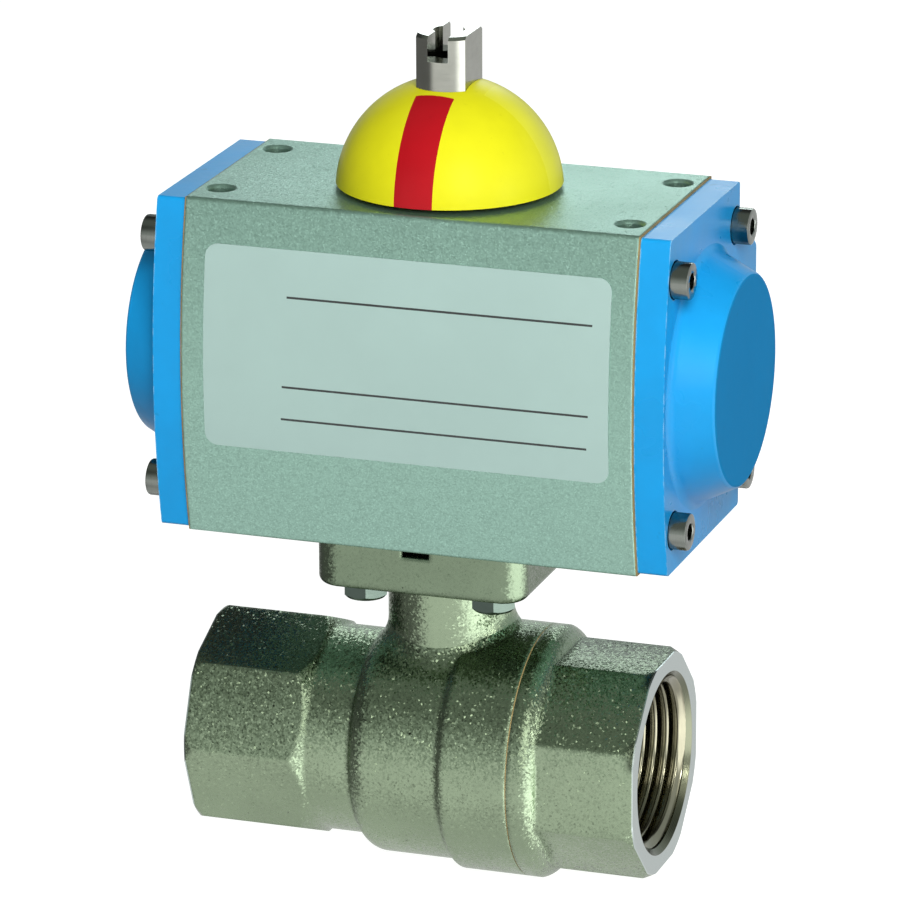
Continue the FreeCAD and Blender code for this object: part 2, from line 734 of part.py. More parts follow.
def pinion_teeth():
    """The involute gear as one extruded face: straight root flanks, involute flanks and tip arcs."""
    module, teeth = amount("gear_module"), round(amount("gear_teeth"))
    pitch = module * teeth / 2
    base = pitch * math.cos(math.radians(amount("pressure_angle")))
    tip, root = pitch + module, pitch - amount("gear_dedendum") * module
    pitch_roll = math.tan(math.acos(base / pitch)) - math.acos(base / pitch)
    half_tooth = (math.pi * module / 2 - amount("tooth_backlash")) / 2 / pitch + pitch_roll
    step = 2 * math.pi / teeth
    radii = (base, (base + tip) / 2, tip)
    edges = []
    for number in range(teeth):
        middle = number * step
        rising = [involute_point(base, radius, middle - half_tooth, 1) for radius in radii]
        falling = [involute_point(base, radius, middle + half_tooth, -1) for radius in reversed(radii)]
        foot, heel = polar(root, middle - half_tooth), polar(root, middle + half_tooth)
        next_foot = polar(root, middle + step - half_tooth)
        edges += [Part.makeLine(foot, rising[0]), Part.Arc(*rising).toShape()]
        edges.append(Part.Arc(rising[2], polar(tip, middle), falling[0]).toShape())
        edges += [Part.Arc(*falling).toShape(), Part.makeLine(falling[2], heel)]
        edges.append(Part.Arc(heel, polar(root, middle + step / 2), next_foot).toShape())
    item = document.addObject("Part::Feature", "pinion_teeth")
    item.Shape = Part.Face(Part.Wire(edges)).extrude(Vector(0, 0, amount("gear_length")))
    return place(item, z=f"-({AXIS_DROP} + gear_length / 2)")


CIRCLIP_FOOT = "thrust_washer_thickness"
CIRCLIP_TOP = "(thrust_washer_thickness + circlip_thickness)"
UPPER_SEAL_Z = f"-({BORE_WALL} - upper_seal_gap)"
LOWER_SEAL_Z = f"-(housing_height - {BORE_WALL} + lower_seal_gap)"


def ring_groove(radius, depth, middle, width):
    """Four corners of a groove of a shaft's outline, drawn from the top down."""
    top, foot = f"({middle}) + {width} / 2", f"({middle}) - {width} / 2"
    return [(radius, top), (f"{radius} - {depth}", top), (f"{radius} - {depth}", foot), (radius, foot)]


def pinion():
    """The one-piece pinion shaft: slotted top with flats, two journals, the gear and a square socket."""
    top = "pinion_top_height"
    stub = "pinion_top_diameter / 2"
    core = f"({PITCH_RADIUS} - (gear_dedendum + gear_root_sink) * gear_module)"
    gear_top, gear_foot = f"-({AXIS_DROP} - gear_length / 2)", f"-({AXIS_DROP} + gear_length / 2)"
    foot = "-(housing_height - flange_spigot_height - pinion_foot_gap)"
    clip_middle = f"({CIRCLIP_FOOT} + {CIRCLIP_TOP}) / 2"
    seal = ("shaft_seal_groove_depth", "shaft_seal_groove_width")
    shaft = turned(
        "pinion_shaft",
        [
            ("0", top),
            (f"{stub} - pinion_chamfer", top),
            (stub, f"{top} - pinion_chamfer"),
            (stub, "pinion_flats_foot"),
            ("upper_journal_radius", "pinion_flats_foot"),
            *ring_groove("upper_journal_radius", "circlip_groove_depth", clip_middle, "circlip_thickness"),
            *ring_groove("upper_journal_radius", seal[0], UPPER_SEAL_Z, seal[1]),
            ("upper_journal_radius", gear_top),
            (core, gear_top),
            (core, gear_foot),
            ("lower_journal_radius", gear_foot),
            *ring_groove("lower_journal_radius", seal[0], LOWER_SEAL_Z, seal[1]),
            ("lower_journal_radius", f"{foot} + pinion_chamfer"),
            ("lower_journal_radius - pinion_chamfer", foot),
            ("0", foot),
        ],
        "Z",
    )
    flats_height = f"{top} - pinion_flats_foot"
    tools = [
        block(f"pinion_flat_{side}", ("pinion_top_diameter", "2 * pinion_top_diameter", flats_height),
              (x, "-pinion_top_diameter", "pinion_flats_foot"))
        for side, x in (("right", "pinion_flats / 2"), ("left", "-pinion_flats / 2 - pinion_top_diameter"))
    ]
    slot_size = ("pinion_slot_width", "2 * pinion_top_diameter", "pinion_slot_depth")
    slot_foot = f"{top} - pinion_slot_depth"
    slot_low = ("-pinion_slot_width / 2", "-pinion_top_diameter", slot_foot)
    tools.append(block("pinion_slot", slot_size, slot_low))
    thread_foot = f"{slot_foot} - pinion_thread_depth"
    thread_length = "pinion_thread_depth + pinion_slot_depth"
    tools.append(cylinder("pinion_thread", "pinion_thread_diameter / 2", thread_length, z=thread_foot))
    socket = "(square_drive + 2 * square_clearance)"
    socket_low = (f"-{socket} / 2", f"-{socket} / 2", foot)
    tools.append(block("pinion_socket", (socket, socket, "square_drive_depth"), socket_low))
    return cut("pinion", gather("pinion_blank", [shaft, pinion_teeth()]), tools)


def pinion_trim():
    """Bushes, seals, thrust washer and circlip of the pinion."""
    upper_run = "upper_journal_radius + running_clearance"
    lower_run = "lower_journal_radius + running_clearance"
    lower_foot = f"-{LOWER_BUSH_TOP} - {BUSH_LENGTH}"
    tube("pinion_bush_upper", UPPER_BUSH_RADIUS, upper_run, BUSH_LENGTH, z=f"-{UPPER_BUSH_FOOT}")
    tube("pinion_bush_lower", LOWER_BUSH_RADIUS, lower_run, BUSH_LENGTH, z=lower_foot)
    for name, journal, middle in (
        ("pinion_seal_upper", "upper_journal_radius", UPPER_SEAL_Z),
        ("pinion_seal_lower", "lower_journal_radius", LOWER_SEAL_Z),
    ):
        inner, outer = f"{journal} - shaft_seal_groove_depth", f"{journal} + running_clearance"
        seal_ring(name, inner, outer, "Z", z=middle)
    washer_bore = "upper_journal_radius + running_clearance"
    tube("thrust_washer", "thrust_washer_radius", washer_bore, "thrust_washer_thickness")
    clip_bore = "upper_journal_radius - circlip_groove_depth"
    clip_rim = f"{clip_bore} + circlip_width"
    ring = tube("circlip_ring", clip_rim, clip_bore, "circlip_thickness", z=CIRCLIP_FOOT)
    mouth_size = ("circlip_mouth", "2 * upper_journal_radius", "circlip_thickness")
    mouth = block("circlip_mouth_cut", mouth_size, ("-circlip_mouth / 2", "0", CIRCLIP_FOOT))
    cut("circlip", ring, [mouth])


DOME_TOP = "(pinion_top_height - dome_top_drop)"
DOME_HEIGHT = f"({DOME_TOP} - dome_gap)"
DOME_SPHERE = f"((dome_radius ^ 2 + {DOME_HEIGHT} ^ 2) / (2 * {DOME_HEIGHT}))"
DOME_CENTRE = f"({DOME_TOP} - {DOME_SPHERE})"
DOME_HUB_FOOT = f"({CIRCLIP_TOP} + dome_hub_gap)"
DOME_HUB_RADIUS = "(upper_journal_radius + dome_hub_wall)"
DOME_INSIDE = f"({DOME_SPHERE} - dome_wall)"


def on_sphere(radius, reach):
    """The height over the sphere's centre at a reach from the axis."""
    return f"sqrt({radius} ^ 2 - ({reach}) ^ 2)"


def indicator_dome():
    """The hollow position dome, which sits on the shoulder of the pinion and is driven by its flats."""
    foot = f"(dome_gap - {DOME_CENTRE})"
    shell = turned(
        "dome_shell",
        [
            (on_sphere(DOME_SPHERE, foot), foot),
            ("0", DOME_SPHERE, DOME_SPHERE),
            ("0", f"{DOME_HUB_FOOT} - {DOME_CENTRE}"),
            (DOME_HUB_RADIUS, f"{DOME_HUB_FOOT} - {DOME_CENTRE}"),
            (DOME_HUB_RADIUS, on_sphere(DOME_INSIDE, DOME_HUB_RADIUS)),
            (on_sphere(DOME_INSIDE, foot), foot, f"-{DOME_INSIDE}"),
        ],
        "Z",
        z=DOME_CENTRE,
    )
    play = "running_clearance"
    stub_radius = f"pinion_top_diameter / 2 + {play}"
    stub = cylinder("dome_stub_hole", stub_radius, "pinion_top_height", z="pinion_flats_foot")
    flats = f"pinion_flats + 2 * {play}"
    flats_low = (f"-({flats}) / 2", "-dome_radius", "pinion_flats_foot")
    flats_block = block("dome_flats", (flats, "2 * dome_radius", "pinion_top_height"), flats_low)
    drive_hole = common("dome_drive_hole", stub, flats_block)
    shaft_hole = cylinder("dome_shaft_hole", f"upper_journal_radius + {play}", "pinion_flats_foot")
    inlays = [stripe_pair("red_inlay", "Y"), stripe_pair("pale_inlay", "X")]
    cut("indicator_dome", shell, [drive_hole, shaft_hole] + inlays)
    stripe_pair("indicator_stripes_red", "Y")
    stripe_pair("indicator_stripes_pale", "X")


def ball_of(name, radius):
    """A sphere about the dome's centre."""
    return place(bind(document.addObject("Part::Sphere", name), Radius=radius), z=DOME_CENTRE)


def stripe_pair(name, along):
    """Two inlaid stripes that run down opposite sides of the dome, along X or along Y."""
    skin = cut(f"{name}_skin", ball_of(f"{name}_outside", DOME_SPHERE),
               [ball_of(f"{name}_inside", f"{DOME_SPHERE} - stripe_depth")])
    reach, half_width = "dome_radius", "stripe_width / 2"
    strips = []
    for side, start in (("near", f"-{reach}"), ("far", "stripe_top_end")):
        length = f"{reach} - stripe_top_end"
        sizes, low = [length, "stripe_width", "pinion_top_height"], [start, f"-{half_width}", "dome_gap"]
        if along == "Y":
            sizes[:2], low[:2] = sizes[1::-1], low[1::-1]
        strips.append(block(f"{name}_{side}", sizes, low))
    return common(name, skin, gather(f"{name}_strips", strips))


PISTON_OUTER_FACE = "(piston_inner_face + piston_head_thickness)"
PISTON_RADIUS = f"({BORE_RADIUS} - piston_clearance)"
SEAL_GROOVE_MIDDLE = f"({PISTON_OUTER_FACE} - piston_rim - piston_seal_groove_width / 2)"
BAND_GROOVE_MIDDLE = "(piston_inner_face + piston_rim + guide_band_width / 2)"
RACK_ROOT = f"({PITCH_RADIUS} + gear_dedendum * gear_module)"
RACK_TIP = f"({PITCH_RADIUS} - rack_addendum * gear_module)"
ARM_BACK = f"({BORE_RADIUS} - rack_back_clearance)"
ARM_END = "(piston_inner_face - rack_end_gap)"
RACK_PAD_FLOOR = f"({ARM_BACK} - rack_pad_sink)"


def segment(floor, radius, half_height):
    """A flat-bottomed segment of a round section: floor at y, back on the given radius."""
    edge = f"sqrt(({radius}) ^ 2 - ({half_height}) ^ 2)"
    return [
        (floor, f"-({half_height})"),
        (edge, f"-({half_height})"),
        (edge, half_height, radius),
        (floor, half_height),
    ]


def tooth_gap(middle, tooth_pitch):
    """The trapezium between two rack teeth, drawn past the tooth tips."""
    slope = "tan(pressure_angle)"
    half_gap = f"({tooth_pitch} / 4 + tooth_backlash / 2)"
    mouth = f"({RACK_TIP} - rack_addendum)"
    half_mouth = f"({half_gap} + ({PITCH_RADIUS} - {mouth}) * {slope})"
    half_floor = f"({half_gap} - ({RACK_ROOT} - {PITCH_RADIUS}) * {slope})"
    return [
        (f"{middle} - {half_mouth}", mouth),
        (f"{middle} + {half_mouth}", mouth),
        (f"{middle} + {half_floor}", RACK_ROOT),
        (f"{middle} - {half_floor}", RACK_ROOT),
    ]


def piston(name, turn):
    """A piston: a grooved round head and a rack arm that reaches past the pinion."""
    body = new_body(name, z=f"-{AXIS_DROP}", turn=turn)
    band = ("guide_band_depth", "guide_band_width")
    head = [
        (f"-{PISTON_OUTER_FACE}", "0"),
        ("-piston_inner_face", "0"),
        ("-piston_inner_face", PISTON_RADIUS),
        *along_x(ring_groove(PISTON_RADIUS, band[0], f"-{BAND_GROOVE_MIDDLE}", band[1])),
        *along_x(ring_groove(
            PISTON_RADIUS, "piston_seal_groove_depth", f"-{SEAL_GROOVE_MIDDLE}", "piston_seal_groove_width"
        )),
        (f"-{PISTON_OUTER_FACE}", PISTON_RADIUS),
    ]
    turn_about(body, "Revolution", head, "X")
    root = "(piston_inner_face + piston_head_thickness / 2)"
    arm = segment(RACK_TIP, ARM_BACK, "rack_half_height")
    pad(body, SECTION, arm, f"{root} + {ARM_END}", lift=f"-{root}")
    tooth_pitch = "(gear_module * pi)"
    first = f"(-{tooth_pitch})"
    relief_end = f"{first} - {tooth_pitch} * rack_relief_pitches"
    relief = rectangle("-piston_inner_face", relief_end, f"{RACK_TIP} - rack_addendum", RACK_ROOT)
    across = "2 * rack_half_height + cut_overshoot"
    pocket(body, PLAN, relief, across)
    gap = pocket(body, PLAN, tooth_gap(first, tooth_pitch), across)
    rack = body.newObject("PartDesign::LinearPattern", f"{name}_rack")
    rack.Originals = [gap]
    rack.Direction = (origin_feature(body, "X_Axis"), [""])
    bind(rack, Length=f"(rack_gap_count - 1) * {tooth_pitch}", Occurrences="rack_gap_count")
    body.Tip = rack
    pad_end = "rack_pad_start + rack_pad_length"
    recess = rectangle("rack_pad_start", pad_end, RACK_PAD_FLOOR, BORE_RADIUS)
    pocket(body, PLAN, recess, "2 * rack_pad_half_height")
    return body


def along_x(corners):
    """The same corners with length first and radius second."""
    return [(length, radius) for radius, length in corners]


def rectangle(left, right, low, high):
    """The corners of a rectangle, as formulas."""
    return [(left, low), (right, low), (right, high), (left, high)]


def piston_trim(side, sign, turn):
    """The ring seal, guide band and rack pad of one piston."""
    groove_floor = f"{PISTON_RADIUS} - piston_seal_groove_depth"
    outer = f"{BORE_RADIUS} - running_clearance"
    seal_middle = f"{sign} * {SEAL_GROOVE_MIDDLE}"
    seal_ring(f"piston_seal_{side}", groove_floor, outer, "X", x=seal_middle, z=f"-{AXIS_DROP}")
    inner = f"{PISTON_RADIUS} - guide_band_depth + running_clearance"
    band_foot = f"{sign} * {BAND_GROOVE_MIDDLE} - guide_band_width / 2"
    tube(f"guide_band_{side}", outer, inner, "guide_band_width", "X", x=band_foot, z=f"-{AXIS_DROP}")
    rack_pad = new_body(f"rack_pad_{side}", z=f"-{AXIS_DROP}", turn=turn)
    corners = segment(RACK_PAD_FLOOR, f"({BORE_RADIUS} - running_clearance)", "rack_pad_half_height")
    pad(rack_pad, SECTION, corners, "rack_pad_length", lift="rack_pad_start")


FLANGE_HALF = "flange_width / 2"
STEM_BORE = "stem_radius + stem_clearance"
COLLAR_TOP = "(housing_height + stem_collar_drop)"


def flange_plate():
    """The square mounting flange with rounded corners and a rounded lower edge."""
    body = new_body("flange_plate", z=f"-{FLANGE_FOOT}")
    inner, corner = f"{FLANGE_HALF} - flange_corner_round", "flange_corner_round"
    corners = [
        (inner, f"-{FLANGE_HALF}"),
        (FLANGE_HALF, f"-({inner})", corner),
        (FLANGE_HALF, inner),
        (inner, FLANGE_HALF, corner),
        (f"-({inner})", FLANGE_HALF),
        (f"-{FLANGE_HALF}", inner, corner),
        (f"-{FLANGE_HALF}", f"-({inner})"),
        (f"-({inner})", f"-{FLANGE_HALF}", corner),
    ]
    pad(body, PLAN, corners, "flange_thickness")
    return round_edges("flange_rounded", body, "flange_edge_round", at_flange_foot)


def at_flange_foot(edge):
    """Whether an edge lies in the flange's lower face."""
    return edge.BoundBox.ZMax < amount(f"-{FLANGE_FOOT}") + LENGTH_TOLERANCE


def octagon_end(name, turn_start, profile):
    """An octagonal wrench end: a prism trimmed by a turned profile."""
    length = f"{profile[1][0]} - ({profile[0][0]})"
    item = document.addObject("Part::Prism", f"{name}_prism")
    item.Polygon = ROUND_SIDES
    bind(item, Circumradius=OCTAGON_CIRCLE, Height=length)
    item.Placement = Placement(Vector(), Rotation(AXIS["Y"], 90) * Rotation(AXIS["Z"], turn_start))
    place(item, x=profile[0][0], z=f"-{PIPE_AXIS}")
    return common(name, item, turned(f"{name}_profile", profile, "X", z=f"-{PIPE_AXIS}"))


def valve_body():
    """The cast valve body: wrench octagon, waist, two round bands, neck and mounting flange."""
    rise_drop = "(waist_radius - band_one_radius + band_one_rise)"
    rise_end = f"(band_one_start + sqrt(band_one_rise ^ 2 - {rise_drop} ^ 2))"
    step_middle = ("(band_one_end + band_two_start) / 2", "(band_one_radius + band_two_radius) / 2")
    step_turn = "(band_two_radius - band_one_radius)"
    root = "-octagon_left_foot - connector_collar_width"
    at = {"z": f"-{PIPE_AXIS}", "turn": ("X", 180)}
    barrel = turned(
        "valve_barrel",
        [
            (root, "0"),
            ("joint_line", "0"),
            ("joint_line", "band_one_radius"),
            ("-band_one_start", "band_one_radius"),
            (f"-{rise_end}", "waist_radius", "band_one_rise"),
            (root, "waist_radius"),
        ],
        "X",
        **at,
    )
    band_two = turned(
        "valve_band_two",
        [
            ("band_one_end", "0"),
            ("joint_line", "0"),
            ("joint_line", "band_two_radius"),
            ("band_two_start", "band_two_radius"),
            (*step_middle, step_turn),
            ("band_one_end", "band_one_radius", f"-{step_turn}"),
        ],
        "X",
        **at,
    )
    rim = OCTAGON_CIRCLE
    slope = "connector_collar_slope"
    octagon = octagon_end(
        "valve_octagon",
        0,
        [
            ("-body_left_end", "0"),
            ("-octagon_left_foot", "0"),
            ("-octagon_left_foot", "waist_radius"),
            (f"-octagon_left_foot - {slope}", rim),
            ("-body_left_end + octagon_end_chamfer", rim),
            ("-body_left_end", "octagon_face_radius"),
        ],
    )
    neck_height = f"{PIPE_AXIS} - {FLANGE_FOOT} + flange_thickness / 2"
    neck = cylinder("valve_neck", "neck_radius", neck_height, z=f"-{PIPE_AXIS}")
    sharp = gather("neck_and_barrel", [barrel, neck])
    neck_and_barrel = round_edges("neck_foot", sharp, "neck_foot_round", at_neck_foot)
    spigot_radius = "spigot_recess_radius - screw_clearance"
    spigot = cylinder("flange_spigot", spigot_radius, "flange_spigot_height", z="-housing_height")
    solid = gather("valve_solid", [neck_and_barrel, band_two, octagon, flange_plate(), spigot])
    return cut("valve_body", solid, flange_openings() + stem_bores() + barrel_bores())


def at_neck_foot(edge):
    """Whether an edge is part of the curve where the neck runs into the barrel."""
    if isinstance(edge.Curve, Part.Line):
        return False
    middle = edge.valueAt((edge.FirstParameter + edge.LastParameter) / 2)
    on_neck = abs(math.hypot(middle.x, middle.y) - amount("neck_radius")) < LENGTH_TOLERANCE
    return on_neck and -amount(PIPE_AXIS) < middle.z < -amount(FLANGE_FOOT)


def flange_openings():
    """Bolt holes and the weep notch of the flange."""
    tools = []
    for number, (x, y) in enumerate(four_corners(FLANGE_BOLT_REACH, FLANGE_BOLT_REACH)):
        at = {"x": x, "y": y, "z": f"-{FLANGE_FOOT}"}
        name = f"flange_hole_{number}"
        tools.append(cylinder(name, "flange_hole_diameter / 2", "flange_thickness", **at))
    notch_size = ("weep_notch_width", FLANGE_HALF, "weep_notch_depth")
    notch_low = ("-weep_notch_width / 2", f"-{FLANGE_HALF}", "-housing_height - weep_notch_depth")
    return tools + [block("weep_notch", notch_size, notch_low)]


def stem_bores():
    """The stem's bore and the wider seat of its blow-out collar."""
    collar = "stem_collar_radius + stem_collar_clearance"
    height = f"{PIPE_AXIS} - housing_height + flange_spigot_height"
    return [
        cylinder("stem_bore", STEM_BORE, height, z=f"-{PIPE_AXIS}"),
        cylinder("stem_collar_bore", collar, f"{PIPE_AXIS} - {COLLAR_TOP}", z=f"-{PIPE_AXIS}"),
    ]


SEAT_POCKET = "(seat_outer_radius + seat_clearance)"
CHAMBER_RADIUS = "(ball_radius + ball_clearance)"
SEAT_POCKET_END = "(seat_outer_face + seat_clearance)"
CHAMBER_END = "(seat_inner_face + seat_clearance)"


def barrel_bores():
    """The pipe thread, the way through, the seat pocket, the ball chamber and the connector's bore."""
    at = {"z": f"-{PIPE_AXIS}"}
    mouth = "thread_radius + thread_mouth_chamfer"
    chamber_length = f"{CHAMBER_END} + spigot_start"
    return [
        cylinder("left_thread", "thread_radius", "thread_depth", "X", x="-body_left_end", **at),
        thread_mouth("left_mouth", "-body_left_end", mouth, "thread_radius"),
        cylinder("left_way", "ball_bore_radius", "body_left_end", "X", x="-body_left_end", **at),
        cylinder("left_seat_pocket", SEAT_POCKET, SEAT_POCKET_END, "X", x=f"-{SEAT_POCKET_END}", **at),
        cylinder("ball_chamber", CHAMBER_RADIUS, chamber_length, "X", x=f"-{CHAMBER_END}", **at),
        cylinder("connector_thread", "spigot_radius + thread_fit", "joint_line - spigot_start", "X",
                 x="spigot_start", **at),
    ]


def thread_mouth(name, foot, first_radius, last_radius):
    """The chamfered mouth of a pipe thread."""
    item = document.addObject("Part::Cone", name)
    bind(item, Radius1=first_radius, Radius2=last_radius, Height="thread_mouth_chamfer")
    return place(item, x=foot, z=f"-{PIPE_AXIS}", turn=("Y", 90))


def end_connector():
    """The screwed-in end: a spigot that holds the seat, a round collar and the wrench octagon."""
    collar_start = "(joint_line + connector_seal_thickness)"
    collar_end = f"({collar_start} + connector_collar_width)"
    octagon_start = f"({collar_end} + connector_collar_slope)"
    rim = OCTAGON_CIRCLE
    core = turned(
        "connector_core",
        [
            ("spigot_start", "0"),
            (octagon_start, "0"),
            (octagon_start, "octagon_flats / 2 - octagon_root_sink"),
            (collar_end, "band_two_radius", "band_two_radius - octagon_flats / 2"),
            (collar_start, "band_two_radius"),
            (collar_start, "spigot_radius"),
            ("spigot_start", "spigot_radius"),
        ],
        "X",
        z=f"-{PIPE_AXIS}",
    )
    octagon = octagon_end(
        "connector_octagon",
        HALF_OCTAGON_ANGLE,
        [
            (collar_start, "0"),
            ("connector_end", "0"),
            ("connector_end", "octagon_face_radius"),
            ("connector_end - octagon_end_chamfer", rim),
            (collar_start, rim),
        ],
    )
    at = {"z": f"-{PIPE_AXIS}"}
    thread_foot = "connector_end - thread_depth"
    mouth_foot = "connector_end - thread_mouth_chamfer"
    tools = [
        cylinder("right_way", "ball_bore_radius", "connector_end", "X", x="0", **at),
        cylinder("right_thread", "thread_radius", "thread_depth", "X", x=thread_foot, **at),
        thread_mouth("right_mouth", mouth_foot, "thread_radius", "thread_radius + thread_mouth_chamfer"),
        cylinder("right_seat_pocket", SEAT_POCKET, SEAT_POCKET_END, "X", x="0", **at),
        cylinder("connector_chamber", CHAMBER_RADIUS, CHAMBER_END, "X", x="0", **at),
    ]
    return cut("end_connector", gather("connector_solid", [core, octagon]), tools)


def valve_trim():
    """The ball, its two seats, the stem with its rings and the connector's seal."""
    centre = {"z": f"-{PIPE_AXIS}"}
    ball = place(bind(document.addObject("Part::Sphere", "ball_sphere"), Radius="ball_radius"), **centre)
    way = cylinder("ball_way", "ball_bore_radius", "2 * ball_radius", "Y", y="-ball_radius", **centre)
    slot_foot = f"-{PIPE_AXIS} + ball_radius - ball_slot_depth"
    slot = block("ball_slot", ("2 * ball_radius", "ball_slot_width", "2 * ball_slot_depth"),
                 ("-ball_radius", "-ball_slot_width / 2", slot_foot))
    cut("ball", ball, [way, slot])
    seat_right()
    mirrored("seat_left", document.getObject("seat_right"))
    stem(slot_foot)
    rim = "band_two_radius - stem_clearance"
    tube("connector_seal", rim, "spigot_radius", "connector_seal_thickness", "X", x="joint_line", **centre)


def seat_right():
    """A ball seat: a square-backed ring whose inner face follows the ball."""
    contact = "(ball_radius + seat_clearance)"
    return turned(
        "seat_right",
        [
            ("seat_outer_face", "ball_bore_radius"),
            ("seat_outer_face", "seat_outer_radius"),
            ("seat_inner_face", "seat_outer_radius"),
            ("seat_inner_face", f"sqrt({contact} ^ 2 - seat_inner_face ^ 2)"),
            (f"sqrt({contact} ^ 2 - ball_bore_radius ^ 2)", "ball_bore_radius", f"-{contact}"),
        ],
        "X",
        z=f"-{PIPE_AXIS}",
    )


def stem(slot_foot):
    """The blow-out proof stem: square head, ring grooves, collar and a tang in the ball's slot."""
    top = "-housing_height + stem_square_height"
    square_foot = "-housing_height"
    collar_foot = f"-{COLLAR_TOP} - thrust_ring_thickness - stem_collar_height"
    seal = ("stem_seal_groove_depth", "stem_seal_groove_width")
    seal_heights = [f"-housing_height - {drop}" for drop in ("stem_seal_drop_one", "stem_seal_drop_two")]
    shaft = turned(
        "stem_shaft",
        [
            ("0", square_foot),
            ("stem_radius", square_foot),
            *ring_groove("stem_radius", seal[0], seal_heights[0], seal[1]),
            *ring_groove("stem_radius", seal[0], seal_heights[1], seal[1]),
            ("stem_radius", f"-{COLLAR_TOP} - thrust_ring_thickness"),
            ("stem_collar_radius", f"-{COLLAR_TOP} - thrust_ring_thickness"),
            ("stem_collar_radius", collar_foot),
            ("0", collar_foot),
        ],
        "Z",
    )
    side, corner = "square_drive", "-square_drive / 2"
    square_size = (side, side, "stem_square_height")
    square = block("stem_square", square_size, (corner, corner, square_foot))
    tang_foot = f"{slot_foot} + stem_tang_gap"
    tang = block("stem_tang", ("stem_tang_length", "stem_tang_width", f"{collar_foot} - ({tang_foot})"),
                 ("-stem_tang_length / 2", "-stem_tang_width / 2", tang_foot))
    limit = cylinder("stem_square_limit", "stem_radius", "stem_square_height", z=square_foot)
    gather("stem", [shaft, common("stem_head", square, limit), tang])
    tube("stem_thrust_ring", "stem_collar_radius", STEM_BORE, "thrust_ring_thickness",
         z=f"-{COLLAR_TOP} - thrust_ring_thickness")
    inner, outer = "stem_radius - stem_seal_groove_depth", "stem_radius + running_clearance"
    rings = [
        seal_ring(f"stem_o_ring_{number}", inner, outer, "Z", z=height)
        for number, height in enumerate(seal_heights)
    ]
    gather("stem_o_rings", rings)


def flange_bolts():
    """Four hex head bolts through the flange into the foot of the housing, as one node."""
    bolts = []
    turn = ("Z", amount("flange_bolt_turn"))
    shank = "mounting_thread_diameter / 2 - running_clearance"
    shank_length = "flange_bolt_length + flange_bolt_head / 2"
    shank_foot = f"-{FLANGE_FOOT} - flange_bolt_head / 2"
    head_foot = f"-{FLANGE_FOOT} - flange_bolt_head"
    for number, (x, y) in enumerate(four_corners(FLANGE_BOLT_REACH, FLANGE_BOLT_REACH)):
        name = f"bolt_head_{number}"
        head = hexagon(name, "flange_bolt_key", "flange_bolt_head", turn, x=x, y=y, z=head_foot)
        body = cylinder(f"bolt_shank_{number}", shank, shank_length, x=x, y=y, z=shank_foot)
        bolts.append(gather(f"flange_bolt_{number}", [head, body]))
    return gather("flange_bolts", bolts)


NODES = (
    "housing_body", "end_cap_left", "end_cap_right", "cap_gasket_left", "cap_gasket_right",
    "cap_screws_left", "cap_screws_right", "piston_left", "piston_right", "piston_seal_left",
    "piston_seal_right", "guide_band_left", "guide_band_right", "rack_pad_left", "rack_pad_right",
    "pinion", "pinion_bush_upper", "pinion_bush_lower", "pinion_seal_upper", "pinion_seal_lower",
    "thrust_washer", "circlip", "indicator_dome", "indicator_stripes_red", "indicator_stripes_pale",
    "label", "valve_body", "end_connector", "connector_seal", "ball", "seat_left", "seat_right", "stem",
    "stem_thrust_ring", "stem_o_rings", "flange_bolts",
)


def build():
    """Make every sub-part of the document."""
    housing_body()
    label()
    for make, name in (
        (end_cap_right, "end_cap"), (cap_gasket_right, "cap_gasket"), (cap_screws_right, "cap_screws")
    ):
        mirrored(f"{name}_left", make())
    for side, sign, turn in (("left", "-1", None), ("right", "1", ("Z", 180))):
        piston(f"piston_{side}", turn)
        piston_trim(side, sign, turn)
    pinion()
    pinion_trim()
    indicator_dome()
    valve_body()
    end_connector()
    valve_trim()
    flange_bolts()


def write_parts():
    """Check the whole document, then write each sub-part to its own file."""
    document.recompute()
    failed = [item.Name for item in document.Objects if {"Invalid", "Error"} & set(item.State)]
    if failed:
        raise RuntimeError(f"failed objects: {failed}")
    for name in NODES:
        shape = document.getObject(name).Shape
        if shape.isNull() or not shape.isValid():
            raise RuntimeError(f"bad shape: {name}")
    os.makedirs("parts", exist_ok=True)
    for name in NODES:
        item = document.getObject(name)
        item.Label = name
        item.Shape.exportStep(f"parts/{name}.step")
        print(f"{name}: {len(item.Shape.Solids)} solid(s), {item.Shape.Volume:.1f} mm3")


build()
write_parts()
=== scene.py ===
"""Looks of a rack-and-pinion rotary actuator that is bolted on a threaded ball valve.

The CAD model is loaded as a fixed frame.  Each sub-assembly is a class that dresses its nodes and
builds the pieces that the frame leaves plain.  Lengths are metres: +Z runs up the pinion, +X along
the pipe, -Y to the front, and the origin is the centre of the housing's flat top.
"""

import logging
import math
from dataclasses import dataclass
from enum import Enum
from typing import Iterable, Optional, Sequence, Union

import bmesh
import bpy
from mathutils import Matrix, Vector

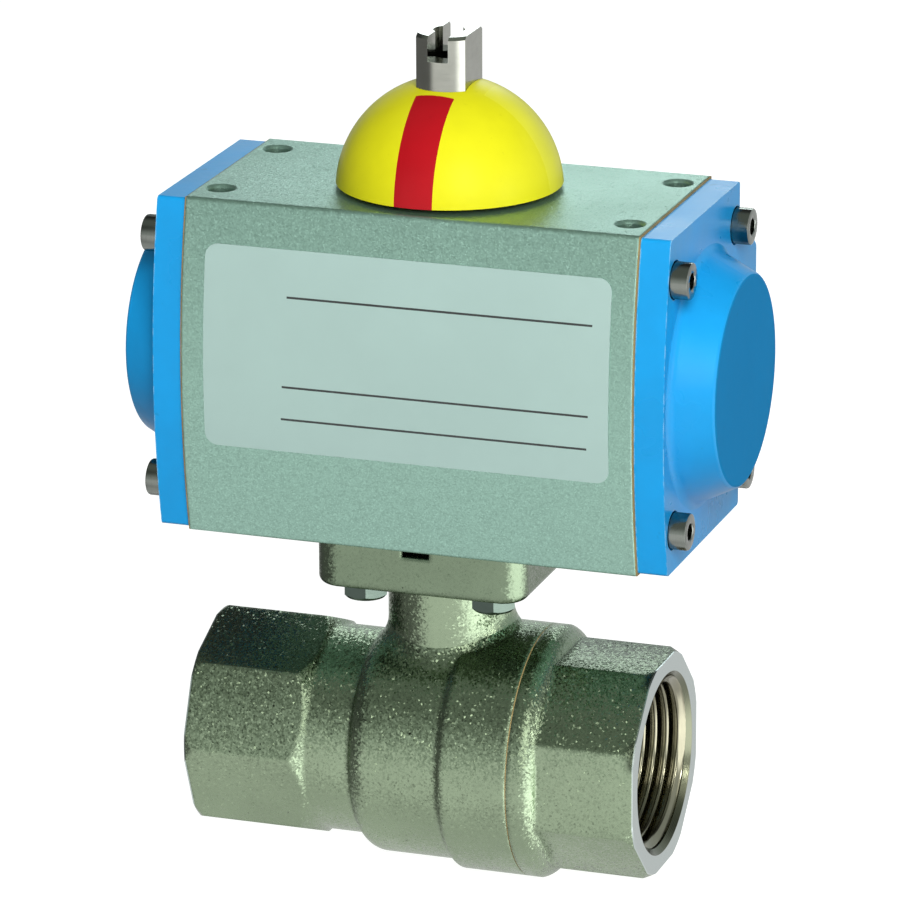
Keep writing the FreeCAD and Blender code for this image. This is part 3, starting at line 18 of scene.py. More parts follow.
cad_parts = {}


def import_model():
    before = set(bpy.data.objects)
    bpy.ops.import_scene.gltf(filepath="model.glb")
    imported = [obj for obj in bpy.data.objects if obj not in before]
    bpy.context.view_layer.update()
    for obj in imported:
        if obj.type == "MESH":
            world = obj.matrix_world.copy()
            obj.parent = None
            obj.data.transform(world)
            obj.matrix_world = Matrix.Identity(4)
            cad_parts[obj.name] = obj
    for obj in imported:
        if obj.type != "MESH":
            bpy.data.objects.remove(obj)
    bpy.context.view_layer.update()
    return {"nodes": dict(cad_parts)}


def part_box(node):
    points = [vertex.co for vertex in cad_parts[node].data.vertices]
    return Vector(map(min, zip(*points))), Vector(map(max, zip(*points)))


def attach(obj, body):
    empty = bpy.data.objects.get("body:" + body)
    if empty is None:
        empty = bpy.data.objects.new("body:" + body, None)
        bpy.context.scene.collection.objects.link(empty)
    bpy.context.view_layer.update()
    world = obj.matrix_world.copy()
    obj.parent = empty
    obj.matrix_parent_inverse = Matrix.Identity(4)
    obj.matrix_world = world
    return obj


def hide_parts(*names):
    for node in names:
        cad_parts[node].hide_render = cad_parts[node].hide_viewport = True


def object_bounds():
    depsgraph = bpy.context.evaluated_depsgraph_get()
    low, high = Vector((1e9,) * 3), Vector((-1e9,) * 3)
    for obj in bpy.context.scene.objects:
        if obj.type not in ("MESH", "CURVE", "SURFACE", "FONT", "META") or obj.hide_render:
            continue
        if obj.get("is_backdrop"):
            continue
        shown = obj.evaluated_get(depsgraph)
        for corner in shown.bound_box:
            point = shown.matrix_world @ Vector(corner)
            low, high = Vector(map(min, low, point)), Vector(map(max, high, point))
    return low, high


LOG = logging.getLogger("dress")
MM = 0.001
WELD = 0.002 * MM
CORNERS = ((1, 1), (-1, 1), (-1, -1), (1, -1))

Colour = tuple[float, float, float]
Mesh = bmesh.types.BMesh
Node = bpy.types.Node
Socket = bpy.types.NodeSocket
Tree = bpy.types.NodeTree
Feed = Union[float, Sequence[float], Socket]
Inputs = dict[Union[int, str], Feed]


class Axis(Enum):
    """The axes that shafts and grain run along."""

    X = 0
    Y = 1
    Z = 2


# ---------- Node trees ----------


class Graph:
    """A node tree with short ways to add nodes and feed their sockets."""

    def __init__(self, tree: Tree) -> None:
        """Wraps a tree.

        Args:
            tree: The node tree of a material, a world or a group.
        """
        self.tree = tree

    def add(self, kind: str, inputs: Optional[Inputs] = None, **settings: object) -> Node:
        """Adds one node.

        Args:
            kind: The node's type without its "ShaderNode" prefix.
            inputs: A value or a socket for each named or numbered input.
            settings: Properties of the node.

        Returns:
            The new node.
        """
        node = self.tree.nodes.new("ShaderNode" + kind)
        for name, value in settings.items():
            setattr(node, name, value)
        for key, value in (inputs or {}).items():
            self.feed(node.inputs[key], value)
        return node

    def feed(self, socket: Socket, value: Feed) -> None:
        """Gives an input socket a plain value or a link.

        Args:
            socket: The input.
            value: A number, a vector or colour, or an output socket.
        """
        if isinstance(value, Socket):
            self.tree.links.new(value, socket)
        elif isinstance(value, (int, float)):
            socket.default_value = value
        else:
            given = tuple(value)
            socket.default_value = given + (1.0,) * (len(socket.default_value) - len(given))

    def math(self, operation: str, *values: Feed, clamp: bool = False) -> Socket:
        """Adds a Math node and returns its result.

        Args:
            operation: The node's operation.
            values: Its inputs in order.
            clamp: Whether the result stays between 0 and 1.

        Returns:
            The output socket.
        """
        inputs = dict(enumerate(values))
        return self.add("Math", inputs, operation=operation, use_clamp=clamp).outputs[0]

    def vector(self, operation: str, *values: Feed) -> Socket:
        """Adds a Vector Math node and returns its vector."""
        return self.add("VectorMath", dict(enumerate(values)), operation=operation).outputs[0]

    def mix(self, mask: Feed, low: Feed, high: Feed) -> Socket:
        """Mixes two colours by a mask.

        Args:
            mask: 0 gives the first colour and 1 the second.
            low: The first colour.
            high: The second colour.

        Returns:
            The mixed colour.
        """
        return self.add("Mix", {0: mask, 6: low, 7: high}, data_type="RGBA").outputs[2]

    def tint(self, skin: Feed, mask: Feed, share: Feed, tone: Feed) -> Socket:
        """Mixes a share of a tone into a skin where a mask is set."""
        return self.mix(self.math("MULTIPLY", mask, share), skin, tone)

    def blend(self, mask: Feed, low: Feed, high: Feed) -> Socket:
        """Mixes two numbers by a mask and returns the result."""
        return self.add("Mix", {0: mask, 2: low, 3: high}, data_type="FLOAT").outputs[0]

    def band(self, value: Feed, low: Feed, high: Feed) -> Socket:
        """Maps a value smoothly, to 0 at low and to 1 at high."""
        inputs = {0: value, 1: low, 2: high, 3: 0.0, 4: 1.0}
        return self.add("MapRange", inputs, interpolation_type="SMOOTHSTEP").outputs[0]

    def split(self, vector: Feed) -> list[Socket]:
        """Gives the three parts of a vector."""
        return list(self.add("SeparateXYZ", {0: vector}).outputs)

    def join(self, x: Feed, y: Feed = 0.0, z: Feed = 0.0) -> Socket:
        """Makes a vector of three numbers."""
        return self.add("CombineXYZ", {0: x, 1: y, 2: z}).outputs[0]

    def reach(self, across: Feed, rise: Feed) -> Socket:
        """Gives the distance from an axis, from two offsets at right angles to it."""
        squares = [self.math("POWER", offset, 2.0) for offset in (across, rise)]
        return self.math("SQRT", self.math("ADD", *squares))

    def bump(self, height: Feed, strength: float, depth: float, **normal: Socket) -> Socket:
        """Bends the surface's normal by a height.

        Args:
            height: The height, from 0 to 1.
            strength: How much of the bend is used.
            depth: The depth of a full height, in metres.
            normal: "Normal" to bend another normal than the surface's own.

        Returns:
            The bent normal.
        """
        inputs = {"Strength": strength, "Distance": depth, "Height": height, **normal}
        return self.add("Bump", inputs).outputs[0]

    def place(
        self, centre: Sequence[float] = (0.0, 0.0, 0.0), scale: Sequence[float] = (1.0, 1.0, 1.0)
    ) -> Socket:
        """Gives Object coordinates about a centre.

        Args:
            centre: The new origin, in metres.
            scale: A stretch for each axis.

        Returns:
            The coordinates' socket.
        """
        where = self.add("TexCoord").outputs["Object"]
        moved = self.vector("SUBTRACT", where, tuple(centre))
        return self.vector("MULTIPLY", moved, tuple(scale))

    def noise(self, where: Feed, scale: Feed, detail: float = 3.0, roughness: float = 0.55) -> Socket:
        """Adds a noise over the given coordinates.

        Args:
            where: The coordinates.
            scale: Waves per metre.
            detail: How many finer layers it has.
            roughness: The share of each finer layer.

        Returns:
            The noise's value, from 0 to 1.
        """
        inputs = {"Vector": where, "Scale": scale, "Detail": detail, "Roughness": roughness}
        return self.add("TexNoise", inputs).outputs[0]

    def call(self, group: Tree, **inputs: Feed) -> Node:
        """Places a shared group.

        Args:
            group: The node group.
            inputs: Its inputs, with underscores for spaces.

        Returns:
            The group's node.
        """
        node = self.add("Group")
        node.node_tree = group
        for name, value in inputs.items():
            self.feed(node.inputs[name.replace("_", " ")], value)
        return node


GroupParts = tuple[Tree, Graph, dict[str, Socket], Node]


class SharedEffects:
    """The effects that several finishes use, each built once as a node group."""

    def __init__(self) -> None:
        """Builds every group."""
        self.edge_wear = self._edge_wear()
        self.grain = self._grain()
        self.facets = self._facets()
        self.handling = self._handling()
        self.tool_marks = self._tool_marks()

    @staticmethod
    def _group(name: str, inputs: dict[str, float], **outputs: str) -> GroupParts:
        """Starts a group with float inputs and the given outputs.

        Args:
            name: The group's name.
            inputs: Default value of each input.
            outputs: Kind of each output, "Float" or "Vector".

        Returns:
            The group, its graph, its input sockets and its output node.
        """
        tree = bpy.data.node_groups.new(name, "ShaderNodeTree")
        for label, default in inputs.items():
            socket = tree.interface.new_socket(name=label, in_out="INPUT", socket_type="NodeSocketFloat")
            socket.default_value = default
        for label, kind in outputs.items():
            tree.interface.new_socket(name=label, in_out="OUTPUT", socket_type="NodeSocket" + kind)
        start = tree.nodes.new("NodeGroupInput")
        end = tree.nodes.new("NodeGroupOutput")
        return tree, Graph(tree), {socket.name: socket for socket in start.outputs if socket.name}, end

    def _edge_wear(self) -> Tree:
        """A mask that is 1 on convex edges, broken up by noise."""
        inputs = {"Width": 0.4 * MM, "Amount": 1.0, "Break Scale": 900.0}
        tree, g, given, end = self._group("EdgeWear", inputs, Mask="Float")
        soft = g.add("Bevel", {"Radius": given["Width"]}, samples=6).outputs[0]
        flat = g.add("NewGeometry").outputs["Normal"]
        turn = g.add("VectorMath", {0: soft, 1: flat}, operation="DOT_PRODUCT").outputs["Value"]
        edge = g.band(g.math("SUBTRACT", 1.0, turn), 0.02, 0.20)
        rub = g.noise(g.place(), given["Break Scale"], 3.0, 0.5)
        mask = g.math("MULTIPLY", edge, g.band(rub, 0.38, 0.62))
        g.feed(end.inputs["Mask"], g.math("MULTIPLY", mask, given["Amount"], clamp=True))
        return tree

    def _grain(self) -> Tree:
        """Fine grain of a blasted, moulded or cast skin, as a height and a speckle mask."""
        inputs = {"Scale": 1800.0, "Speckle Share": 0.3}
        tree, g, given, end = self._group("Grain", inputs, Height="Float", Speckle="Float")
        where = g.place()
        fine = g.noise(where, given["Scale"], 4.0, 0.6)
        other = g.noise(where, g.math("MULTIPLY", given["Scale"], 1.9), 1.0, 0.5)
        start = g.math("SUBTRACT", 0.75, g.math("MULTIPLY", given["Speckle Share"], 0.5))
        limits = {0: other, 1: start, 2: g.math("ADD", start, 0.08), 3: 0.0, 4: 1.0}
        g.feed(end.inputs["Height"], fine)
        g.feed(end.inputs["Speckle"], g.add("MapRange", limits).outputs[0])
        return tree

    def _facets(self) -> Tree:
        """A normal that tips from cell to cell, strongest in a few, so that a blasted metal sparkles."""
        inputs = {"Cells Per Metre": 2600.0, "Tilt": 0.3, "Round": 0.5 * MM}
        tree, g, given, end = self._group("Facets", inputs, Normal="Vector", Cell="Float")
        spread = {"Vector": g.place(), "Scale": given["Cells Per Metre"], "Randomness": 1.0}
        cells = g.add("TexVoronoi", spread)
        lean = g.vector("SUBTRACT", cells.outputs["Color"], (0.5, 0.5, 0.5))
        cell = g.split(cells.outputs["Color"])[0]
        few_more = g.blend(g.math("GREATER_THAN", cell, 0.90), 1.0, 2.2)
        tilt = g.math("MULTIPLY", given["Tilt"], few_more)
        lean = g.add("VectorMath", {0: lean, "Scale": tilt}, operation="SCALE").outputs[0]
        soft = g.add("Bevel", {"Radius": given["Round"]}, samples=4).outputs[0]
        g.feed(end.inputs["Normal"], g.vector("NORMALIZE", g.vector("ADD", soft, lean)))
        g.feed(end.inputs["Cell"], cell)
        return tree

    def _handling(self) -> Tree:
        """Wide soft patches, as an even skin gets from handling and storage."""
        tree, g, given, end = self._group("Handling", {"Scale": 45.0}, Patch="Float", Spot="Float")
        where = g.place()
        wide = g.noise(where, given["Scale"], 4.0, 0.6)
        spots = g.noise(where, g.math("MULTIPLY", given["Scale"], 9.0), 2.0, 0.5)
        g.feed(end.inputs["Patch"], g.band(wide, 0.3, 0.7))
        g.feed(end.inputs["Spot"], g.band(spots, 0.70, 0.76))
        return tree

    def _tool_marks(self) -> Tree:
        """Fine rings and streaks that a lathe leaves round an axis along X."""
        inputs = {"Axis Height": 0.0, "Rings Per Metre": 3000.0}
        tree, g, given, end = self._group("ToolMarks", inputs, Height="Float")
        x, y, z = g.split(g.place())
        reach = g.reach(y, g.math("SUBTRACT", z, given["Axis Height"]))
        along = g.math("ADD", reach, g.math("MULTIPLY", x, 0.8))
        waves = g.math("MULTIPLY", along, g.math("MULTIPLY", given["Rings Per Metre"], math.tau))
        lines = g.noise(g.join(along), given["Rings Per Metre"], 2.0, 0.5)
        rings = g.math("MULTIPLY", g.math("SINE", waves), 0.3)
        g.feed(end.inputs["Height"], g.math("ADD", rings, lines))
        return tree


# ---------- Finishes ----------


@dataclass(frozen=True)
class Finish:
    """What every finish has: a name, a colour and a way to build its material."""

    name: str
    colour: Colour

    def shade(self, factor: float) -> Colour:
        """The finish's colour, lighter or darker by a factor."""
        return tuple(min(1.0, part * factor) for part in self.colour)

    def build(self, effects: SharedEffects) -> bpy.types.Material:
        """Makes the material.

        Args:
            effects: The shared node groups.

        Returns:
            The material.
        """
        made = bpy.data.materials.new(self.name)
        made.use_nodes = True
        made.diffuse_color = (*self.colour, 1.0)
        g = Graph(made.node_tree)
        shader = made.node_tree.nodes["Principled BSDF"]
        for name, value in self.paint(g, effects).items():
            g.feed(shader.inputs[name], value)
        return made

    def paint(self, g: Graph, effects: SharedEffects) -> dict[str, Feed]:
        """Builds the finish's nodes; each finish has its own.

        Args:
            g: The material's graph.
            effects: The shared node groups.

        Returns:
            What the shader's inputs get.
        """
        raise NotImplementedError


@dataclass(frozen=True)
class BlastedNickel(Finish):
    """Hot-pressed brass, shot-blasted and nickel-plated, with machined ends and bores."""

    machined: Colour = (0.55, 0.62, 0.60)
    # painted shade: the inside of the bores is darkened, as shade falls in them
    painted_bore_shade: Colour = (0.15, 0.16, 0.11)
    flange_shade: Colour = (0.66, 0.68, 0.68)
    corner_reach: float = 21.3 * MM
    corner_length: float = 2.2 * MM
    octagon_start: float = 23.5 * MM
    axis_height: float = -0.110
    flange_foot: float = 35.3 * MM
    bore_reach: float = 17.7 * MM
    left_end: float = -1.0
    right_end: float = 1.0
    end_depth: float = 0.25 * MM
    edge_round: float = 1.2 * MM
    cells: float = 3000.0
    tilt: float = 0.38
    barrel_reach: float = 25.5 * MM
    crown: float = 18.0

    def paint(self, g: Graph, effects: SharedEffects) -> dict[str, Feed]:
        """Builds sparkling facets, pits and patches, smooth turned faces, and painted shade in the bore and
        on shaded spots.
        """
        x, y, z = g.split(g.place((0.0, 0.0, self.axis_height)))
        reach = g.reach(y, z)
        inside = g.math("LESS_THAN", reach, self.bore_reach)
        left = g.math("LESS_THAN", x, self.left_end + self.end_depth)
        right = g.math("GREATER_THAN", x, self.right_end - self.end_depth)
        smooth = g.math("MAXIMUM", inside, g.math("MAXIMUM", left, right))
        low = g.math("LESS_THAN", reach, self.barrel_reach)
        tilt = g.blend(low, 0.5 * self.tilt, self.tilt)
        facets = g.call(effects.facets, Cells_Per_Metre=self.cells, Tilt=tilt, Round=self.edge_round).outputs
        barrel = g.math("MULTIPLY", low, self.crown)
        outward = g.vector("MULTIPLY", g.join(0.0, y, z), g.join(barrel, barrel, barrel))
        crowned = g.vector("NORMALIZE", g.vector("ADD", facets["Normal"], outward))
        patches = g.call(effects.handling, Scale=55.0).outputs
        wear = g.call(effects.edge_wear, Width=0.7 * MM, Amount=0.7, Break_Scale=500.0).outputs
        grain = g.call(effects.grain, Scale=1500.0, Speckle_Share=0.25).outputs
        skin = g.mix(patches["Patch"], self.shade(0.92), self.shade(1.06))
        skin = g.tint(skin, facets["Cell"], 0.25, self.shade(1.3))
        skin = g.tint(skin, grain["Speckle"], 0.18, self.shade(0.45))
        pits = g.band(g.noise(g.place(), 420.0, 1.0), 0.80, 0.82)
        skin = g.mix(pits, skin, self.shade(0.12))
        skin = g.mix(wear["Mask"], skin, self.shade(1.5))
        # painted shade and painted shadow, added in shadows()
        skin = self.shadows(g, skin, x, z, reach)
        marks = g.call(effects.tool_marks, Axis_Height=self.axis_height, Rings_Per_Metre=2600.0).outputs
        turned = g.bump(marks["Height"], 0.35, 0.02 * MM)
        cast = g.bump(grain["Height"], 0.6, 0.05 * MM, Normal=crowned)
        return {
            # the bore's inside takes the painted bore shade
            "Base Color": g.mix(inside, g.mix(smooth, skin, self.machined), self.painted_bore_shade),
            "Roughness": g.blend(smooth, g.blend(facets["Cell"], 0.20, 0.30), 0.2),
            "Metallic": 1.0,
            "Normal": g.add("Mix", {0: smooth, 4: cast, 5: turned}, data_type="VECTOR").outputs[1],
        }

    def shadows(self, g: Graph, skin: Socket, x: Socket, z: Socket, reach: Socket) -> Socket:
        """Darkens the skin with painted shade: a painted shadow under the housing, and painted shade at the
        right end's upper corners and on the octagons' upward faces.

        Args:
            g: The material's graph.
            skin: The colour so far.
            x: The place along the pipe.
            z: The height over the pipe's axis.
            reach: The distance from that axis.

        Returns:
            The colour, darker under the housing, at the right end's corners and on the octagons' tops.
        """
        # painted shadow: the flange, up against the housing, is darkened as if the housing shades it
        under_housing = g.band(z, self.flange_foot - 1.0 * MM, self.flange_foot)
        skin = g.mix(under_housing, skin, g.vector("MULTIPLY", skin, self.flange_shade))
        # painted shade: the upper corners at the right end are darkened almost to black
        near_end = g.band(x, self.right_end - self.corner_length, self.right_end)
        far_out = g.band(reach, self.corner_reach - 0.4 * MM, self.corner_reach + 0.3 * MM)
        corner = g.math("MULTIPLY", g.math("MULTIPLY", near_end, far_out), g.band(z, -2 * MM, 2 * MM))
        skin = g.mix(corner, skin, self.shade(0.1))
        # painted shade: faces that point up beyond the octagons' start are darkened, as if the housing above
        # shades them
        aside = g.math("GREATER_THAN", g.math("ABSOLUTE", x), self.octagon_start)
        upward = g.band(g.split(g.add("NewGeometry").outputs["Normal"])[2], 0.70, 0.92)
        return g.tint(skin, aside, upward, self.shade(0.5))


@dataclass(frozen=True)
class AnodisedAluminium(Finish):
    """A bead-blasted extrusion, anodised to a satin grey-green."""

    def paint(self, g: Graph, effects: SharedEffects) -> dict[str, Feed]:
        """Builds fine glitter, faint drawn lines along the extrusion and rubbed edges."""
        facets = g.call(effects.facets, Cells_Per_Metre=4200.0, Tilt=0.20).outputs
        patches = g.call(effects.handling, Scale=22.0).outputs
        wear = g.call(effects.edge_wear, Width=0.35 * MM, Amount=0.8, Break_Scale=700.0).outputs
        grain = g.call(effects.grain, Scale=2600.0, Speckle_Share=0.2).outputs
        drawn = g.noise(g.place(scale=(0.02, 1.0, 1.0)), 900.0, 3.0)
        skin = g.mix(patches["Patch"], self.shade(0.95), self.shade(1.04))
        skin = g.tint(skin, facets["Cell"], 0.28, self.shade(1.35))
        skin = g.tint(skin, g.band(drawn, 0.55, 0.8), 0.12, self.shade(0.7))
        skin = g.tint(skin, grain["Speckle"], 0.25, self.shade(0.6))
        return {
            "Base Color": g.mix(wear["Mask"], skin, self.shade(1.45)),
            "Roughness": g.blend(patches["Patch"], 0.40, 0.47),
            "Metallic": 0.85,
            "Normal": g.bump(grain["Height"], 0.35, 0.03 * MM, Normal=facets["Normal"]),
        }


@dataclass(frozen=True)
class Enamel(Finish):
    """Stoved enamel on a die-cast cap, duller on the dome's flat face, whose colour is darkened there by
    painted shade.
    """

    face_reach: float = 1.0
    worn: Colour = (0.42, 0.70, 0.90)

    def paint(self, g: Graph, effects: SharedEffects) -> dict[str, Feed]:
        """Builds a slightly wavy gloss coat with thin light edges."""
        patches = g.call(effects.handling, Scale=40.0).outputs
        wear = g.call(effects.edge_wear, Width=0.45 * MM, Amount=0.75, Break_Scale=650.0).outputs
        skin = g.mix(patches["Patch"], self.shade(0.93), self.shade(1.05))
        skin = g.tint(skin, patches["Spot"], 0.35, self.shade(0.55))
        along = g.math("ABSOLUTE", g.split(g.place())[0])
        # the flat end face: painted shade darkens its colour, and it is also made matt with little gloss
        face = g.math("GREATER_THAN", along, self.face_reach - 0.15 * MM)
        skin = g.tint(skin, face, 0.75, self.shade(0.6))
        peel, wide = g.noise(g.place(), 620.0, 2.0), g.noise(g.place(), 140.0, 2.0)
        height = g.math("ADD", g.math("MULTIPLY", peel, 0.25), wide)
        return {
            "Base Color": g.mix(wear["Mask"], skin, self.worn),
            "Roughness": g.blend(face, g.blend(patches["Patch"], 0.26, 0.35), 0.62),
            "Specular IOR Level": g.blend(face, 0.22, 0.05),
            "Normal": g.bump(height, 0.28, 0.25 * MM),
        }


@dataclass(frozen=True)
class MouldedPlastic(Finish):
    """A moulded or inlaid plastic skin."""

    roughness: float = 0.36
    gloss: float = 0.5

    def paint(self, g: Graph, effects: SharedEffects) -> dict[str, Feed]:
        """Builds a fine eroded skin, slight colour drift and dulled edges."""
        patches = g.call(effects.handling, Scale=70.0).outputs
        wear = g.call(effects.edge_wear, Width=0.35 * MM, Amount=0.4, Break_Scale=900.0).outputs
        grain = g.call(effects.grain, Scale=2400.0, Speckle_Share=0.1).outputs
        skin = g.mix(patches["Patch"], self.shade(0.95), self.shade(1.03))
        skin = g.tint(skin, patches["Spot"], 0.18, self.shade(0.72))
        return {
            "Base Color": g.mix(wear["Mask"], skin, self.shade(1.25)),
            "Roughness": g.blend(patches["Patch"], self.roughness, self.roughness + 0.08),
            "Specular IOR Level": self.gloss,
            "Normal": g.bump(grain["Height"], 0.25, 0.03 * MM),
        }


@dataclass(frozen=True)
class TurnedMetal(Finish):
    """A turned, milled or plated steel or brass skin with a streak direction."""

    roughness: float = 0.2
    streaks: Axis = Axis.Z

    def paint(self, g: Graph, effects: SharedEffects) -> dict[str, Feed]:
        """Builds fine streaks round the axis, patches and bright worn edges."""
        stretch = [0.06, 0.06, 0.06]
        stretch[self.streaks.value] = 1.0
        lines = g.noise(g.place(scale=stretch), 5200.0, 3.0)
        patches = g.call(effects.handling, Scale=120.0).outputs
        wear = g.call(effects.edge_wear, Width=0.3 * MM, Amount=0.8, Break_Scale=1400.0).outputs
        skin = g.mix(patches["Patch"], self.shade(0.86), self.shade(1.05))
        skin = g.tint(skin, lines, 0.35, self.shade(0.62))
        skin = g.tint(skin, patches["Spot"], 0.3, self.shade(0.45))
        return {
            "Base Color": g.mix(wear["Mask"], skin, self.shade(1.35)),
            "Roughness": g.blend(lines, self.roughness, self.roughness + 0.14),
            "Metallic": 1.0,
            "Normal": g.bump(lines, 0.3, 0.015 * MM),
        }


@dataclass(frozen=True)
class DullSkin(Finish):
    """Rubber, fibre, sealant and other parts without gloss."""

    roughness: float = 0.6
    flecks: float = 0.3

    def paint(self, g: Graph, effects: SharedEffects) -> dict[str, Feed]:
        """Builds flecks and a soft uneven surface."""
        grain = g.call(effects.grain, Scale=1600.0, Speckle_Share=self.flecks).outputs
        patches = g.call(effects.handling, Scale=160.0).outputs
        skin = g.mix(patches["Patch"], self.shade(0.82), self.shade(1.12))
        rougher = min(1.0, self.roughness + 0.2)
        return {
            "Base Color": g.tint(skin, grain["Speckle"], 0.4, self.shade(1.6)),
            "Roughness": g.blend(grain["Height"], self.roughness, rougher),
            "Normal": g.bump(grain["Height"], 0.5, 0.05 * MM),
        }


@dataclass(frozen=True)
class PrintedFilm(Finish):
    """The label's film: a pale satin face with three printed rules and no words.

    Each rule has its left end, its right end and its height, in millimetres.
    """

    ink: Colour = (0.03, 0.035, 0.035)
    rules: tuple[Colour, ...] = ((-23.2, 36.2, -16.8), (-24.0, 35.7, -33.9), (-24.3, 35.4, -40.2))
    rule_width: float = 0.42

    def paint(self, g: Graph, effects: SharedEffects) -> dict[str, Feed]:
        """Builds the film with its rules at fixed places on the face."""
        x, _, z = g.split(g.place())
        printed: Feed = 0.0
        for left, right, height in self.rules:
            middle, half = (left + right) / 2 * MM, (right - left) / 2 * MM
            across = g.math("LESS_THAN", g.math("ABSOLUTE", g.math("SUBTRACT", x, middle)), half)
            offset = g.math("ABSOLUTE", g.math("SUBTRACT", z, height * MM))
            tall = g.math("LESS_THAN", offset, self.rule_width / 2 * MM)
            printed = g.math("MAXIMUM", printed, g.math("MULTIPLY", across, tall))
        patches = g.call(effects.handling, Scale=30.0).outputs
        grain = g.call(effects.grain, Scale=2200.0, Speckle_Share=0.1).outputs
        wear = g.call(effects.edge_wear, Width=0.3 * MM, Amount=0.5, Break_Scale=800.0).outputs
        face = g.mix(patches["Patch"], self.shade(0.97), self.shade(1.03))
        face = g.mix(wear["Mask"], face, self.shade(1.2))
        return {
            "Base Color": g.mix(printed, face, self.ink),
            "Roughness": g.blend(patches["Patch"], 0.34, 0.42),
            "Normal": g.bump(grain["Height"], 0.12, 0.03 * MM),
        }


# ---------- Meshes ----------


def dress(nodes: Iterable[bpy.types.Object], material: bpy.types.Material) -> None:
    """Gives every slot of the nodes a better material.

    Args:
        nodes: The objects to dress.
        material: Their new material.
    """
    for item in nodes:
        if not item.material_slots:
            item.data.materials.append(material)
        for slot in item.material_slots:
            slot.material = material


def link_object(name: str, data: bpy.types.ID) -> bpy.types.Object:
    """Puts an object into the scene and returns it."""
    made = bpy.data.objects.new(name, data)
    bpy.context.scene.collection.objects.link(made)
    return made


def mesh_object(name: str, bm: Mesh, material: bpy.types.Material) -> bpy.types.Object:
    """Turns a bmesh into an object with one material, and frees the bmesh."""
    mesh = bpy.data.meshes.new(name)
    bm.to_mesh(mesh)
    bm.free()
    made = link_object(name, mesh)
    made.data.materials.append(material)
    return made


def finish_piece(
    name: str, bm: Mesh, material: bpy.types.Material, body: str, smooth_below: float = 0.6
) -> bpy.types.Object:
    """Turns a bmesh into a piece that rides on a body.

    Args:
        name: The piece's name.
        bm: Its mesh, at its place.
        material: Its material.
        body: The CAD body it moves with.
        smooth_below: Edges with a smaller angle, in radians, are shaded smooth.

    Returns:
        The new object.
    """
    bmesh.ops.remove_doubles(bm, verts=bm.verts, dist=WELD)
    bmesh.ops.recalc_face_normals(bm, faces=bm.faces)
    for face in bm.faces:
        face.smooth = True
    for edge in bm.edges:
        edge.smooth = len(edge.link_faces) == 2 and edge.calc_face_angle(0.0) < smooth_below
    made = mesh_object(name, bm, material)
    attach(made, body)
    return made


def repeat(single: Mesh, poses: Iterable[Matrix]) -> Mesh:
    """Copies a mesh to several poses.

    Args:
        single: The mesh, which is used up.
        poses: Where the copies go.

    Returns:
        The mesh of all copies.
    """
    mesh = bpy.data.meshes.new("single")
    single.to_mesh(mesh)
    single.free()
    bm = bmesh.new()
    for pose in poses:
        before = set(bm.verts)
        bm.from_mesh(mesh)
        bmesh.ops.transform(bm, matrix=pose, verts=[vert for vert in bm.verts if vert not in before])
    bpy.data.meshes.remove(mesh)
    return bm


def hexagon_corner(flats: float) -> float:
    """The corner radius of a hexagon, from its width over the flats."""
    return flats / 2 / math.cos(math.pi / 6)


def add_ring(
    bm: Mesh, segments: int, radius: float, height: float
) -> tuple[list[bmesh.types.BMVert], list[bmesh.types.BMEdge]]:
    """Adds an open ring round Z and returns its vertices and edges."""
    verts = bmesh.ops.create_circle(bm, segments=segments, radius=radius, cap_ends=False)["verts"]
    bmesh.ops.translate(bm, verts=verts, vec=(0, 0, height))
    return verts, list({edge for vert in verts for edge in vert.link_edges})


def turn_profile(
    bm: Mesh, profile: Sequence[tuple[float, float]], steps: int, rise: float = 0.0, turns: float = 1.0
) -> None:
    """Spins an outline of (radius, height) about Z.

    Args:
        bm: The mesh to add to.
        profile: The outline's points in order, in metres.
        steps: Steps of each turn.
        rise: Height gained by each turn, for a screw thread.
        turns: How many turns.
    """
    verts = [bm.verts.new((radius, 0.0, height)) for radius, height in profile]
    edges = [bm.edges.new(pair) for pair in zip(verts, verts[1:])]
    if rise:
        edges.append(bm.edges.new((verts[-1], verts[0])))
    count = round(steps * turns)
    bmesh.ops.spin(
        bm, geom=verts + edges, cent=(0, 0, 0), axis=(0, 0, 1), dvec=(0, 0, rise / steps),
        angle=math.tau * turns, steps=count, use_merge=not rise and turns == 1.0, use_duplicate=False,
    )


@dataclass
class InnerThread:
    """The visible ridges of an internal thread, sunk a little into a plain bore."""

    name: str
    major: float
    pitch: float
    length: float
    place: Matrix
    body: str
    slot: str
    steps: int = 72
    profile_steps: int = 12
    sink: float = 0.05 * MM
    depth_share: float = 0.58
    crest_power: float = 0.8

    def build(self, material: bpy.types.Material) -> bpy.types.Object:
        """Builds the ridges as one closed screw-shaped band.

        Args:
            material: The thread's finish.

        Returns:
            The piece.
        """
        depth, half = self.depth_share * self.pitch, self.pitch / 2
        waves = [math.tau * number / self.profile_steps for number in range(self.profile_steps + 1)]
        flank = [(self.major + self.sink, -half)]
        for angle in waves:
            swing = (1 - math.cos(angle)) / 2
            flank.append((self.major - depth * swing**self.crest_power, half * (angle / math.pi - 1)))
        flank.append((self.major + self.sink, half))
        bm = bmesh.new()
        turns = self.length / self.pitch - 1.0
        turn_profile(bm, flank, self.steps, rise=self.pitch, turns=turns)
        bmesh.ops.translate(bm, verts=bm.verts, vec=(0, 0, half))
        open_edges = [edge for edge in bm.edges if len(edge.link_faces) == 1]
        bmesh.ops.holes_fill(bm, edges=open_edges, sides=0)
        bmesh.ops.transform(bm, matrix=self.place, verts=bm.verts)
        return finish_piece(self.name, bm, material, self.body)


